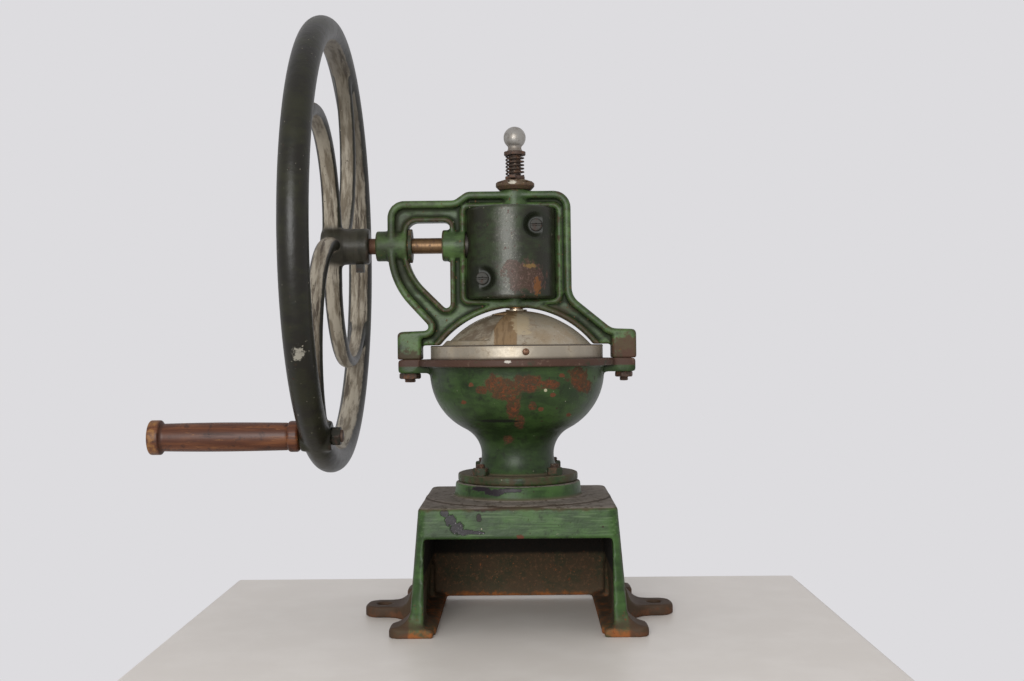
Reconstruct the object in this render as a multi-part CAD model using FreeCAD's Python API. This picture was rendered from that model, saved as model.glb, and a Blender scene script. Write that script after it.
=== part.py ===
import FreeCAD, Part
import math
import os

os.makedirs("parts", exist_ok=True)

# Hand crank coffee grinder with a flywheel. Millimetres, +Z up.
# The origin is midway between the two bolt-down holes, on the underside, and the burr axis is the Z axis.
# The crank axis runs along X, the flywheel is on the -X side, and the drawer mouth faces -Y.

# ---- driving dimensions -------------------------------------------------------------------------
RUN = 0.06                 # running clearance on a radius

# base
BASE_TOP_HALF = 82.5       # half width of the base at its top
BASE_FOOT_HALF = 91.0      # half width of the base walls at the ground
BASE_TOP = 104.0           # height of the base's square top
BASE_WALL = 7.0
MOUTH_HALF = 78.0          # half width of the drawer mouth
MOUTH_TOP = 78.5           # its height
TOE_X = 106.5              # how far the flared feet reach sideways
TOE_Y = 95.5               # and to the front and back
EAR_X = 119.5              # bolt-down hole centres
EAR_TIP = 136.0            # ends of the bolt-down ears
EAR_HOLE_R = 6.25
EAR_THICK = 9.5
DECK_R = 81.5              # low round step on the base's top
SEAT_LOW_R = 56.5          # round seat that carries the hopper, a little wider below
SEAT_HIGH_R = 55.0
RING_TOP = 118.0           # top of that seat
BURR_BORE_R = 30.05

# hopper
FLANGE_TOP = 125.5         # top of the hopper's foot flange
FLANGE_R = 53.0
FLANGE_STUD = 32.0         # flange studs at plus and minus this in X and Y
FLANGE_STUD_R = 4.0
NECK_Z = 141.3             # narrowest place of the hopper
NECK_R = 31.9
BOWL_R = 56.0              # radius of the bowl's arc
BOWL_CENTRE_R = 21.2       # that arc's centre, from the axis
BOWL_CENTRE_Z = 214.5
HOPPER_WALL = 5.0
MOUTH_R = BOWL_CENTRE_R + BOWL_R - HOPPER_WALL
RIM_Z = 226.0              # top of the hopper's rim, under the bridge frame's feet
RIM_R = 87.0
RIM_EAR_TIP = 104.5        # ends of the rim's two ears
RIM_EAR_HALF = 15.0
RIM_EAR_LOW = 214.0        # underside of those ears
EAR_STUD_X = 95.0          # studs that hold the bridge frame
STUD_R = {"left": 5.0, "right": 3.9}
STUD_Z = (205.5, 243.5)
RIM_NUT = {"left": (19.6, 5.2), "right": (16.4, 4.9)}      # width across corners, thickness

# bridge frame
ARCH_R = 87.0              # arch of the bridge frame over the lid
ARCH_Z = 184.5
WEB_HALF = 5.0             # half thickness of the frame's web
RIB_HALF = 13.0            # half depth of its outer rib
RIB_WIDTH = 6.5
BEAD_HALF = 9.0            # half depth of the beads round its windows
BEAD_WIDTH = 4.3
BEAD_GAP = 2.6             # from the gear window's edge to its bead
BOSS_LEFT = (-124.0, -95.6)                # ends of the outer crank boss
BOSS_RIGHT = (-65.3, -44.5)                # ends of the inner crank boss
BOSS_LEFT_R = 13.4
BOSS_RIGHT_R = 14.0
WINDOW = (-42.0, 34.0, 281.0, 357.0)       # gear window: X from and to, Z from and to
LUGS = ((-29.0, 296.0), (18.0, 342.0))     # gear cover screws, X and Z
TOP_BOSS_R = 13.4
TOP_BOSS_Z = 375.5
LOW_BOSS_R = 9.5
LOW_BOSS_Z = 270.6
BUSH_TOP = 287.4
SPINDLE_BUSH_R = 7.6
CRANK_BUSH_R = 9.5

# gear covers
COVER_X = -4.0             # axis of the barrel-shaped gear covers
COVER_R = 39.7
COVER_Z0 = 278.7
COVER_Z1 = 359.3
COVER_WALL = 3.0
SEAT_Y = -28.0             # floor of the sunk screw seats
COVER_SCREW_R = 2.5

# crank
CRANK_Z = 327.0            # height of the crank axis
SHAFT_R = 7.0
COLLAR_R = 15.0            # ring that keeps the shaft from being pulled out
COLLAR_X = (-95.2, -91.8)
WHEEL_X = -163.5           # middle plane of the flywheel
WHEEL_R = 200.0            # outside radius of the flywheel
RIM_TUBE = 12.0            # radius of the flywheel's round rim section
RIM_CENTRE_R = WHEEL_R - RIM_TUBE
HUB = (-172.5, -129.5)
HUB_R = 16.0
SET_SCREW_X = HUB[1] - 9
SET_SCREW_R = 3.0
SPOKES = 4
SPOKE_R = RIM_CENTRE_R / 2       # each spoke follows half a circle of this radius
SPOKE_HALF_DEEP = 7.6            # half the spoke's size along the axle
SPOKE_HALF_WIDE = 6.0            # and across it
SPOKE_TILT = 5.5                 # the first spoke meets the rim this far round from the front
HANDLE_ANGLE = -60.5             # where the grip sits on the rim, from the front (-Y), upwards positive
HANDLE_REACH = RIM_CENTRE_R - 2.0
LUG_R = 12.6
LUG_HALF = 13.0
GRIP = (-299.5, -176.9)
PIN_R = 5.0

# bevel gears
MODULE = 2.5
PINION_TEETH = 16
CROWN_TEETH = 24
FACE = 10.0                # tooth length
BACKLASH = 0.30            # taken off each tooth's thickness at the pitch line
PRESSURE = math.radians(20.0)
PINION_R = MODULE * PINION_TEETH / 2
CROWN_R = MODULE * CROWN_TEETH / 2
CONE = math.hypot(PINION_R, CROWN_R)          # length of the pitch cones, from their shared tip
PINION_TOE = -(CROWN_R * (1 - FACE / CONE)) + 1.5
PINION_HUB_R = 11.5
PINION_PIN_X = -39.4
PINION_PIN_R = 1.6
CROWN_BACK = CRANK_Z - 25.0                   # flat back of the crown gear
KEY_HALF = 2.0
KEY_REACH = 8.0
KEY_Z = (289.0, 301.0)

# spindle and burrs
SPINDLE_R = 6.0
SPINDLE_TOP = 332.0
BURR_Z = (102.0, 122.0)
BURR_OUT = 30.0
BURR_WIDE = 23.6           # inner burr's radius below and above
BURR_SLIM = 13.2
BURR_GAP = 1.05            # between the two burrs
SPIDER_Z = (90.0, 92.0, 98.0)                 # foot of the spider's hub, foot and top of its arms
SPIDER_BORE_R = 8.0

# burr adjustment
SCREW_R = 5.5              # adjusting screw
CAP = (320.0, 344.0)       # union nut on the spindle
CAP_LIP = 5.5              # thickness of its top
CAP_BORE_R = 6.6
FOOT_GAP = 0.12            # play of the adjusting screw's foot in it
DISC_TOP = 384.8
NOTCH_Z = 381.0            # bottom of the click plate's notches
COLLAR_TOP = 388.0
WASHER_Z = (406.7, 410.0)
KNOB_R = 9.9
KNOB_TOP = 432.4
KNOB_FOOT_R = 7.0
FINGER_AZIMUTH = 261.0     # the index finger points to the front, a little to the left
WIRE_R = 0.75
COIL_R = 7.7
COILS = 5.5

# lid
DOME_R = 86.5              # radius of the lid's dome
DOME_BASE_R = 65.5
SHOULDER_Z = 238.0         # flat shoulder round the dome
BAND_R = 76.5
SHEET = 1.2                # lid sheet thickness
DOME_Z = SHOULDER_Z + 0.6 - math.sqrt(DOME_R ** 2 - DOME_BASE_R ** 2)
EYELET_R = 7.15
WINDOW_FROM = 165.0        # azimuths of the filling window, from +X round towards +Y
WINDOW_TO = 248.0
WINDOW_R = (22.0, 62.0)
SHUTTER_SPAN = 96.0
SHUTTER_FROM = 193.0       # the shutter rests part open
SHUTTER_GAP = 0.35         # between the dome and the shutter
SHUTTER_SHEET = 1.0
LID_SCREW_R = 1.6
LID_SCREW_Z = 232.2
LID_SCREW_ANGLES = (-84.0, 36.0, 156.0)
LID_RING_R = 70.0          # bore of the ring that locates the lid

V = FreeCAD.Vector
UP = V(0, 0, 1)
ALONG_X = V(1, 0, 0)
ALONG_Y = V(0, 1, 0)


# ---- shared shapes ------------------------------------------------------------------------------
def save(name, shape):
    shape.exportStep("parts/" + name + ".step")


def disc(radius, z0, z1, x=0.0, y=0.0):
    """Cylinder standing on Z from z0 to z1."""
    return Part.makeCylinder(radius, z1 - z0, V(x, y, z0), UP)


def rod_x(radius, x0, x1, y=0.0, z=CRANK_Z):
    """Cylinder lying along X, on the crank axis unless told otherwise."""
    return Part.makeCylinder(radius, x1 - x0, V(x0, y, z), ALONG_X)


def rod_y(radius, y0, y1, x, z):
    return Part.makeCylinder(radius, y1 - y0, V(x, y0, z), ALONG_Y)


def block(x0, x1, y0, y1, z0, z1):
    return Part.makeBox(x1 - x0, y1 - y0, z1 - z0, V(x0, y0, z0))


def tube(outer, inner, z0, z1, x=0.0, y=0.0):
    return disc(outer, z0, z1, x, y).cut(disc(inner, z0 - 1, z1 + 1, x, y))


def fused(shapes):
    """One solid from touching or overlapping solids."""
    whole = shapes[0].multiFuse(shapes[1:])
    return whole.removeSplitter()


def round_ring(count, shape, angle0=0.0):
    """Copies of a shape, spread evenly round the Z axis."""
    ring = []
    for i in range(count):
        one = shape.copy()
        one.rotate(V(0, 0, 0), UP, angle0 + 360.0 * i / count)
        ring.append(one)
    return ring


def mirrored(shape, normal):
    return shape.mirror(V(0, 0, 0), normal)


def hexagon(across_corners, z0, z1, x=0.0, y=0.0, turn=0.0):
    """Hexagonal prism standing on Z."""
    corners = []
    for i in range(7):
        angle = math.radians(60.0 * i + turn)
        corners.append(V(x + across_corners / 2 * math.cos(angle), y + across_corners / 2 * math.sin(angle), z0))
    return Part.Face(Part.makePolygon(corners)).extrude(V(0, 0, z1 - z0))


def rounded(corners, place):
    """Closed wire through (u, v, radius) corners, each rounded by a tangent arc; place(u, v) gives a point."""
    count = len(corners)
    edges = []
    ends = []
    for i in range(count):
        u, v, radius = corners[i]
        corner = V(u, v, 0)
        before = V(corners[i - 1][0], corners[i - 1][1], 0) - corner
        after = V(corners[(i + 1) % count][0], corners[(i + 1) % count][1], 0) - corner
        before.normalize()
        after.normalize()
        if radius == 0:
            ends.append((corner, corner, None))
            continue
        half = before.getAngle(after) / 2
        middle = (before + after).normalize()
        tangent = radius / math.tan(half)
        crown = corner + middle * (radius / math.sin(half) - radius)
        ends.append((corner + before * tangent, corner + after * tangent, crown))
    for i in range(count):
        start, end, crown = ends[i]
        if crown is not None:
            edges.append(Part.Arc(place(start.x, start.y), place(crown.x, crown.y), place(end.x, end.y)).toShape())
        following = ends[(i + 1) % count][0]
        edges.append(Part.LineSegment(place(end.x, end.y), place(following.x, following.y)).toShape())
    return Part.Wire(edges)


def front_view(u, v):
    return V(u, 0, v)


def slab(wire, half_depth):
    """Plate with a front-view outline, spread evenly to both sides of the XZ plane."""
    plate = Part.Face(wire).extrude(V(0, 2 * half_depth, 0))
    plate.translate(V(0, -half_depth, 0))
    return plate


def plan(corners, z0, z1):
    """Plate with a rounded plan outline."""
    wire = rounded(corners, lambda u, v: V(u, v, z0))
    return Part.Face(wire).extrude(V(0, 0, z1 - z0))


def edges_where(shape, test):
    """Edges whose middle point passes a test."""
    found = []
    for edge in shape.Edges:
        first, last = edge.ParameterRange
        if test(edge.valueAt((first + last) / 2)):
            found.append(edge)
    return found


def line(r0, z0, r1, z1):
    return Part.LineSegment(V(r0, 0, z0), V(r1, 0, z1)).toShape()


def arc(centre_r, centre_z, radius, angle0, angle1):
    """Arc in the radius and height plane; angles in degrees from the radial direction."""
    points = []
    for angle in (angle0, (angle0 + angle1) / 2, angle1):
        turn = math.radians(angle)
        points.append(V(centre_r + radius * math.cos(turn), 0, centre_z + radius * math.sin(turn)))
    return Part.Arc(points[0], points[1], points[2]).toShape()


def turned(edges, sweep=360.0):
    """Solid of revolution about Z from a closed profile in the XZ plane."""
    return Part.Face(Part.Wire(edges)).revolve(V(0, 0, 0), UP, sweep)


def turned_outline(points):
    """Solid of revolution from straight-sided (radius, height) corners."""
    corners = []
    for r, z in points:
        corners.append(V(r, 0, z))
    corners.append(corners[0])
    return Part.Face(Part.makePolygon(corners)).revolve(V(0, 0, 0), UP, 360)


def across(shape):
    """Turn a shape built on Z about the origin so that it lies on the crank axis, its top towards -X."""
    shape.rotate(V(0, 0, 0), ALONG_Y, -90)
    shape.translate(V(0, 0, CRANK_Z))
    return shape


# ---- base casting -------------------------------------------------------------------------------
def square(half, corner, z):
    points = [(half, half, corner), (-half, half, corner), (-half, -half, corner), (half, -half, corner)]
    return rounded(points, lambda u, v: V(u, v, z))


def toe():
    """Flared foot at the left front corner: outlines from the front, from above and from the side, crossed."""
    outline = rounded([(-TOE_X, 0, 0), (-TOE_X, 8, 3.5), (-89.5, 10, 14), (-87, 36, 0), (-79, 36, 0),
                       (-79, 8, 2), (-70, 6, 1), (-70, 0, 0)], front_view)
    flare = Part.Face(outline).extrude(V(0, -60, 0))
    flare.translate(V(0, -42, 0))
    tread = plan([(-70, -42, 0), (-70, -TOE_Y, 2), (-TOE_X, -TOE_Y, 9), (-TOE_X, -72, 8), (-84, -52, 0),
                  (-84, -42, 0)], 0, 37)
    side_view = rounded([(-42, 0, 0), (-TOE_Y, 0, 0), (-TOE_Y, 7, 3), (-88.5, 10, 12), (-86.5, 37, 0),
                         (-42, 37, 0)], lambda u, v: V(-110, u, v))
    side = Part.Face(side_view).extrude(V(45, 0, 0))
    return flare.common(tread).common(side)


def ear():
    """Bolt-down ear on the left side, rising in a flare against the wall."""
    outline = rounded([(-EAR_TIP, 0, 0), (-EAR_TIP, EAR_THICK, 3), (-99, EAR_THICK, 16), (-87, 42, 0), (-83, 42, 0),
                       (-83, 0, 0)], front_view)
    flare = slab(outline, 40)
    tread = plan([(-EAR_TIP, -17, 15), (-EAR_TIP, 17, 15), (-109, 17, 12), (-92, 39, 4), (-83, 39, 0),
                  (-83, -39, 0), (-92, -39, 4), (-109, -17, 12)], 0, 43)
    hole = disc(EAR_HOLE_R, -1, EAR_THICK + 1, -EAR_X, 0)
    return flare.common(tread).cut(hole)


def base():
    """Open-fronted box on four flared feet, with the hopper's round seat on top."""
    outside = Part.makeLoft([square(BASE_FOOT_HALF, 10, 0), square(BASE_TOP_HALF, 8, BASE_TOP)], True)
    outside = outside.makeFillet(2.5, edges_where(outside, lambda p: p.z > BASE_TOP - 0.1))
    inside = Part.makeLoft([square(BASE_FOOT_HALF - BASE_WALL, 5, 0),
                            square(BASE_TOP_HALF - BASE_WALL, 4, BASE_TOP - 6)], True)
    walls = outside.cut(inside)
    mouth = block(-MOUTH_HALF, MOUTH_HALF, -110, -70, -1, MOUTH_TOP)
    back_wall = block(-80, 80, 60, 67, 3, BASE_TOP - 5)
    clearance_behind = block(-72, 72, 67.5, 110, -1, MOUTH_TOP - 8)
    walls = walls.cut(fused([mouth, clearance_behind]))
    deck = disc(DECK_R, BASE_TOP - 1, BASE_TOP + 1.6)
    seat = Part.makeCone(SEAT_LOW_R, SEAT_HIGH_R, RING_TOP - BASE_TOP, V(0, 0, BASE_TOP), UP)
    burr_cup = disc(36, 86, BASE_TOP)
    runner = block(-84, -68.5, -82, 62, 0, 6)
    left = [toe(), mirrored(toe(), ALONG_Y), ear(), runner]
    pieces = [walls, back_wall, deck, seat, burr_cup]
    for shape in left:
        pieces.append(shape)
        pieces.append(mirrored(shape, ALONG_X))
    casting = fused(pieces)
    casting = casting.cut(disc(BURR_BORE_R, SPIDER_Z[1], RING_TOP + 1))
    casting = casting.cut(disc(25, 80, 93))
    for x in (-FLANGE_STUD, FLANGE_STUD):
        for y in (-FLANGE_STUD, FLANGE_STUD):
            casting = casting.cut(disc(FLANGE_STUD_R, BASE_TOP - 8, RING_TOP + 1, x, y))
    return casting


# ---- hopper -------------------------------------------------------------------------------------
def neck_arc():
    """Radius and centre of the hollow arc that leaves the neck upright and meets the bowl's arc tangentially."""
    across_gap = NECK_R - BOWL_CENTRE_R
    drop = BOWL_CENTRE_Z - NECK_Z
    radius = (across_gap ** 2 + drop ** 2 - BOWL_R ** 2) / (2 * (BOWL_R - across_gap))
    return radius, NECK_R + radius


def goblet_side(inward):
    """Arcs of the bowl and the neck, moved towards the axis by a distance, from the rim down."""
    radius, centre_r = neck_arc()
    meeting = math.degrees(math.atan2(BOWL_CENTRE_Z - NECK_Z, centre_r - BOWL_CENTRE_R))
    bowl = arc(BOWL_CENTRE_R, BOWL_CENTRE_Z, BOWL_R - inward, 0, -meeting)
    return bowl, radius + inward, centre_r, 180 - meeting


def hopper():
    """Goblet: bowl, neck and foot flange, with a flat rim and two ears for the bridge frame."""
    bowl, hollow, centre_r, start = goblet_side(0)
    foot_angle = 180 + math.degrees(math.asin((NECK_Z - FLANGE_TOP) / hollow))
    foot_r = centre_r + hollow * math.cos(math.radians(foot_angle))
    neck = arc(centre_r, NECK_Z, hollow, start, foot_angle)
    bowl_inside, hollow_inside, centre_r, start = goblet_side(HOPPER_WALL)
    neck_inside = arc(centre_r, NECK_Z, hollow_inside, start, 180)
    wall_r = BOWL_CENTRE_R + BOWL_R
    throat_r = NECK_R - HOPPER_WALL
    profile = [line(MOUTH_R, RIM_Z, RIM_R, RIM_Z), line(RIM_R, RIM_Z, RIM_R, RIM_Z - 6),
               line(RIM_R, RIM_Z - 6, wall_r + 3, RIM_Z - 7.5), line(wall_r + 3, RIM_Z - 7.5, wall_r, BOWL_CENTRE_Z),
               bowl, neck,
               line(foot_r, FLANGE_TOP, FLANGE_R, FLANGE_TOP), line(FLANGE_R, FLANGE_TOP, FLANGE_R, RING_TOP),
               line(FLANGE_R, RING_TOP, throat_r, RING_TOP), line(throat_r, RING_TOP, throat_r, NECK_Z),
               neck_inside, bowl_inside, line(MOUTH_R, BOWL_CENTRE_Z, MOUTH_R, RIM_Z)]
    body = turned(profile)
    ear_plate = plan([(74, -RIM_EAR_HALF, 0), (RIM_EAR_TIP, -RIM_EAR_HALF, 6), (RIM_EAR_TIP, RIM_EAR_HALF, 6),
                      (74, RIM_EAR_HALF, 0)], RIM_EAR_LOW, RIM_Z)
    ear_plate = ear_plate.cut(disc(MOUTH_R + 1, 0, 300))
    body = fused([body, ear_plate, mirrored(ear_plate, ALONG_X)])
    body = body.cut(disc(STUD_R["left"], RIM_EAR_LOW - 1, RIM_Z + 1, -EAR_STUD_X, 0))
    body = body.cut(disc(STUD_R["right"], RIM_EAR_LOW - 1, RIM_Z + 1, EAR_STUD_X, 0))
    for x in (-FLANGE_STUD, FLANGE_STUD):
        for y in (-FLANGE_STUD, FLANGE_STUD):
            body = body.cut(disc(FLANGE_STUD_R, RING_TOP - 1, FLANGE_TOP + 1, x, y))
    return body


def flange_studs():
    studs = []
    for x in (-FLANGE_STUD, FLANGE_STUD):
        for y in (-FLANGE_STUD, FLANGE_STUD):
            studs.append(disc(FLANGE_STUD_R, BASE_TOP - 8, FLANGE_TOP + 10, x, y))
    return Part.makeCompound(studs)


def flange_nuts():
    nuts = []
    turn = 8.0
    for x in (-FLANGE_STUD, FLANGE_STUD):
        for y in (-FLANGE_STUD, FLANGE_STUD):
            nut = hexagon(14.4, FLANGE_TOP, FLANGE_TOP + 6.5, x, y, turn)
            nuts.append(nut.cut(disc(FLANGE_STUD_R, 0, 200, x, y)))
            turn += 13.0
    return Part.makeCompound(nuts)


# ---- bridge frame -------------------------------------------------------------------------------
def window_rect(grow, corner):
    x0, x1, z0, z1 = WINDOW
    return rounded([(x0 - grow, z0 - grow, corner), (x1 + grow, z0 - grow, corner),
                    (x1 + grow, z1 + grow, corner), (x0 - grow, z1 + grow, corner)], front_view)


def bead(outer, inner, half_depth, soft):
    """Raised border between two outlines, its four long edges softened."""
    ring = slab(outer, half_depth).cut(slab(inner, half_depth + 1))
    return ring.makeFillet(soft, edges_where(ring, lambda p: abs(p.y) > half_depth - 0.01))


def frame_outline():
    return rounded([(105.5, RIM_Z, 0), (105.5, 251.2, 4), (84, 252, 12), (49.2, 280.5, 16), (48.8, 373.8, 15),
                    (-43, 373.8, 9), (-54, 366.2, 7), (-113, 366.2, 15), (-113, 294.5, 70), (-73.6, 251.6, 3.4),
                    (-105, 250.5, 4), (-105, RIM_Z, 0)], front_view)


def loop_outline():
    return rounded([(-96, 347.6, 9), (-96, 304, 48), (-58.2, 266.2, 3.6), (-58.2, 347.6, 5)], front_view)


def inside_of(wire, distance):
    return wire.makeOffset2D(-distance)


def outside_of(wire, distance):
    return wire.makeOffset2D(distance)


def arch_space():
    """Space under the arch and between the feet, where the lid sits."""
    under = slab(rounded([(-84.5, 220, 0), (84.5, 220, 0), (84.5, 238.4, 3), (-84.5, 238.4, 3)], front_view), 30)
    return fused([under, rod_y(ARCH_R, -30, 30, 0, ARCH_Z)])


def bridge_frame():
    """Ribbed casting that spans the hopper and carries the crank, the gears and the adjusting screw."""
    outline = frame_outline()
    loop = loop_outline()
    web = slab(outline, WEB_HALF).cut(slab(loop, 20))
    web = web.cut(slab(window_rect(0, 4), 20))
    outer_rib = bead(outline, inside_of(outline, RIB_WIDTH), RIB_HALF, 2.4)
    loop_bead = bead(outside_of(loop, BEAD_WIDTH), loop, BEAD_HALF, 1.7)
    gear_bead = bead(window_rect(BEAD_GAP + BEAD_WIDTH, 7), window_rect(BEAD_GAP, 4), BEAD_HALF, 1.7)
    arch_bead = rod_y(ARCH_R + 4.5, -BEAD_HALF, BEAD_HALF, 0, ARCH_Z)
    arch_bead = arch_bead.common(slab(outline, 20))
    lugs = []
    for x, z in LUGS:
        lugs.append(rod_y(5, -WEB_HALF, WEB_HALF, x, z))
    lugs.append(block(-44, -29, -WEB_HALF, WEB_HALF, 279, 296))
    lugs.append(block(-44, -24, -WEB_HALF, WEB_HALF, 279, 291))
    lugs.append(block(18, 36, -WEB_HALF, WEB_HALF, 342, 359))
    lugs.append(block(13, 36, -WEB_HALF, WEB_HALF, 347, 359))
    feet = []
    for side in (-1, 1):
        foot = plan([(83.9, -RIB_HALF, 3), (105.2, -RIB_HALF, 4), (105.2, RIB_HALF, 4), (83.9, RIB_HALF, 3)],
                    RIM_Z, 248)
        feet.append(foot if side > 0 else mirrored(foot, ALONG_X))
    bosses = [rod_x(BOSS_LEFT_R, BOSS_LEFT[0], BOSS_LEFT[1]), rod_x(BOSS_RIGHT_R, BOSS_RIGHT[0], BOSS_RIGHT[1]),
              disc(TOP_BOSS_R, 357.5, TOP_BOSS_Z), disc(LOW_BOSS_R, LOW_BOSS_Z, BUSH_TOP - 1.5)]
    casting = fused([web, outer_rib, loop_bead, gear_bead, arch_bead] + lugs)
    casting = casting.cut(arch_space())
    casting = fused([casting] + feet + bosses)
    casting = casting.cut(rod_x(CRANK_BUSH_R, -130, -42))
    casting = casting.cut(rod_x(COLLAR_R + 0.5, BOSS_LEFT[1], COLLAR_X[1] + 0.8))
    casting = casting.cut(rod_x(PINION_HUB_R + 1.2, BOSS_RIGHT[1], -40))
    casting = casting.cut(disc(SPINDLE_BUSH_R, LOW_BOSS_Z - 2, BUSH_TOP))
    casting = casting.cut(disc(SCREW_R + RUN, 356, TOP_BOSS_Z + 1))
    casting = casting.cut(disc(STUD_R["left"], RIM_Z - 1, 244, -EAR_STUD_X, 0))
    casting = casting.cut(disc(STUD_R["right"], RIM_Z - 1, 244, EAR_STUD_X, 0))
    for x, z in LUGS:
        casting = casting.cut(rod_y(COVER_SCREW_R, -20, 20, x, z))
    return casting


def rim_stud(side):
    sign = -1 if side == "left" else 1
    return disc(STUD_R[side], STUD_Z[0], STUD_Z[1], sign * EAR_STUD_X, 0)


def rim_nut(side):
    """Nut under a hopper ear, with its washer face."""
    sign = -1 if side == "left" else 1
    corners, thick = RIM_NUT[side]
    nut = hexagon(corners, RIM_EAR_LOW - thick, RIM_EAR_LOW, sign * EAR_STUD_X, 0, 12)
    return nut.cut(disc(STUD_R[side], 0, 300, sign * EAR_STUD_X, 0))


# ---- gear covers --------------------------------------------------------------------------------
def front_cover():
    """Half barrel over the front of the gear window, closed above and below, with two sunk screw seats."""
    barrel = disc(COVER_R, COVER_Z0, COVER_Z1, COVER_X, 0)
    barrel = barrel.makeFillet(1.2, edges_where(barrel, lambda p: p.z < COVER_Z0 + 0.1 or p.z > COVER_Z1 - 0.1))
    hollow = disc(COVER_R - COVER_WALL, COVER_Z0 + COVER_WALL, COVER_Z1 - COVER_WALL, COVER_X, 0)
    shell = barrel.cut(hollow)
    posts = []
    for x, z in LUGS:
        posts.append(rod_y(8.4, -45, -25.5, x, z).common(barrel))
        posts.append(rod_y(5, -30, -WEB_HALF, x, z))
    front = block(-60, 60, -60, -WEB_HALF, 270, 370)
    cover = fused([shell.common(front)] + posts)
    for x, z in LUGS:
        cover = cover.cut(rod_y(6.8, -60, SEAT_Y, x, z))
        cover = cover.cut(rod_y(2.6, -60, 0, x, z))
    cover = cover.cut(rod_x(14.6, -50, -38))
    cover = cover.cut(disc(TOP_BOSS_R + 0.4, 356, 361))
    return cover.cut(disc(10, 270, COVER_Z0 + COVER_WALL + 1))


def front_screws():
    """Two slotted cheese-head screws that hold a gear cover to the frame's lugs."""
    screws = []
    for x, z in LUGS:
        head = rod_y(5.5, SEAT_Y - 3.2, SEAT_Y, x, z)
        head = head.cut(block(x - 7, x + 7, SEAT_Y - 4, SEAT_Y - 1.8, z - 0.7, z + 0.7))
        screws.append(fused([head, rod_y(COVER_SCREW_R, SEAT_Y, -0.5, x, z)]))
    return Part.makeCompound(screws)


# ---- crank --------------------------------------------------------------------------------------
def handle_point():
    """Where the handle pin crosses the flywheel's plane, in Y and Z."""
    turn = math.radians(HANDLE_ANGLE)
    return -HANDLE_REACH * math.cos(turn), CRANK_Z + HANDLE_REACH * math.sin(turn)


def spoke(index):
    """Half-circle spoke from the hub, bending round until it runs into the rim."""
    ring = Part.makeTorus(SPOKE_R, SPOKE_HALF_DEEP, V(0, 0, 0), UP, 0, 360, 168)
    ring = ring.common(tube(SPOKE_R + SPOKE_HALF_WIDE, SPOKE_R - SPOKE_HALF_WIDE, -20, 20))
    ring.rotate(V(0, 0, 0), UP, 6)
    ring.translate(V(SPOKE_R, 0, 0))
    ring.rotate(V(0, 0, 0), UP, SPOKE_TILT + 90.0 * index)
    return ring


def flywheel():
    """Cast wheel: round rim, four curved spokes, hub and a lug for the handle pin, made flat and then stood up."""
    rim = Part.makeTorus(RIM_CENTRE_R, RIM_TUBE, V(0, 0, 0), UP)
    spokes = []
    for index in range(SPOKES):
        spokes.append(spoke(index))
    hub = disc(HUB_R, WHEEL_X - HUB[1], WHEEL_X - HUB[0])
    turn = math.radians(HANDLE_ANGLE)
    u = HANDLE_REACH * math.cos(turn)
    v = HANDLE_REACH * math.sin(turn)
    lug = disc(LUG_R, -LUG_HALF, LUG_HALF, u, v)
    wheel = rim.multiFuse(spokes + [hub, lug])
    wheel = wheel.cut(disc(SHAFT_R, -60, 60))
    screw_hole = Part.makeCylinder(SET_SCREW_R, HUB_R + 1, V(0, 0, WHEEL_X - SET_SCREW_X), V(0, -1, 0))
    wheel = wheel.cut(screw_hole)
    wheel = wheel.cut(disc(PIN_R, -30, 30, u, v))
    wheel.rotate(V(0, 0, 0), ALONG_X, 90)
    wheel.rotate(V(0, 0, 0), UP, -90)
    wheel.translate(V(WHEEL_X, 0, CRANK_Z))
    return wheel


def set_screw():
    """Square-headed screw that locks the flywheel's hub to the shaft, pointing down at rest."""
    x = SET_SCREW_X
    shank = disc(SET_SCREW_R, CRANK_Z - 20, CRANK_Z - SHAFT_R, x, 0)
    return fused([shank, block(x - 3.5, x + 3.5, -3.5, 3.5, CRANK_Z - 23, CRANK_Z - HUB_R)])


def crank_shaft():
    """Plain bar, cross-drilled for the pinion's pin."""
    bar = rod_x(SHAFT_R, HUB[0] + 1, PINION_TOE)
    return bar.cut(disc(PINION_PIN_R, CRANK_Z - 20, CRANK_Z + 20, PINION_PIN_X, 0))


def shaft_collar():
    """Ring pinned to the shaft on the inner side of the outer boss, so that the crank can't be pulled out."""
    return rod_x(COLLAR_R, COLLAR_X[0], COLLAR_X[1]).cut(rod_x(SHAFT_R, -100, -90))


def crank_bush(span):
    return rod_x(CRANK_BUSH_R, span[0], span[1]).cut(rod_x(SHAFT_R + RUN, -130, -40))


def handle_pin():
    """Long bolt that carries the grip, its flat head sunk in the grip's end."""
    y, z = handle_point()
    return fused([rod_x(7.6, GRIP[0] + 0.8, GRIP[0] + 5, y, z), rod_x(PIN_R, GRIP[0] + 4, -141.5, y, z)])


def handle_nut():
    y, z = handle_point()
    nut = hexagon(16.4, 0, 7)
    nut.rotate(V(0, 0, 0), ALONG_Y, 90)
    nut.translate(V(WHEEL_X + LUG_HALF, y, z))
    return nut.cut(rod_x(PIN_R, -160, -130, y, z))


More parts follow.
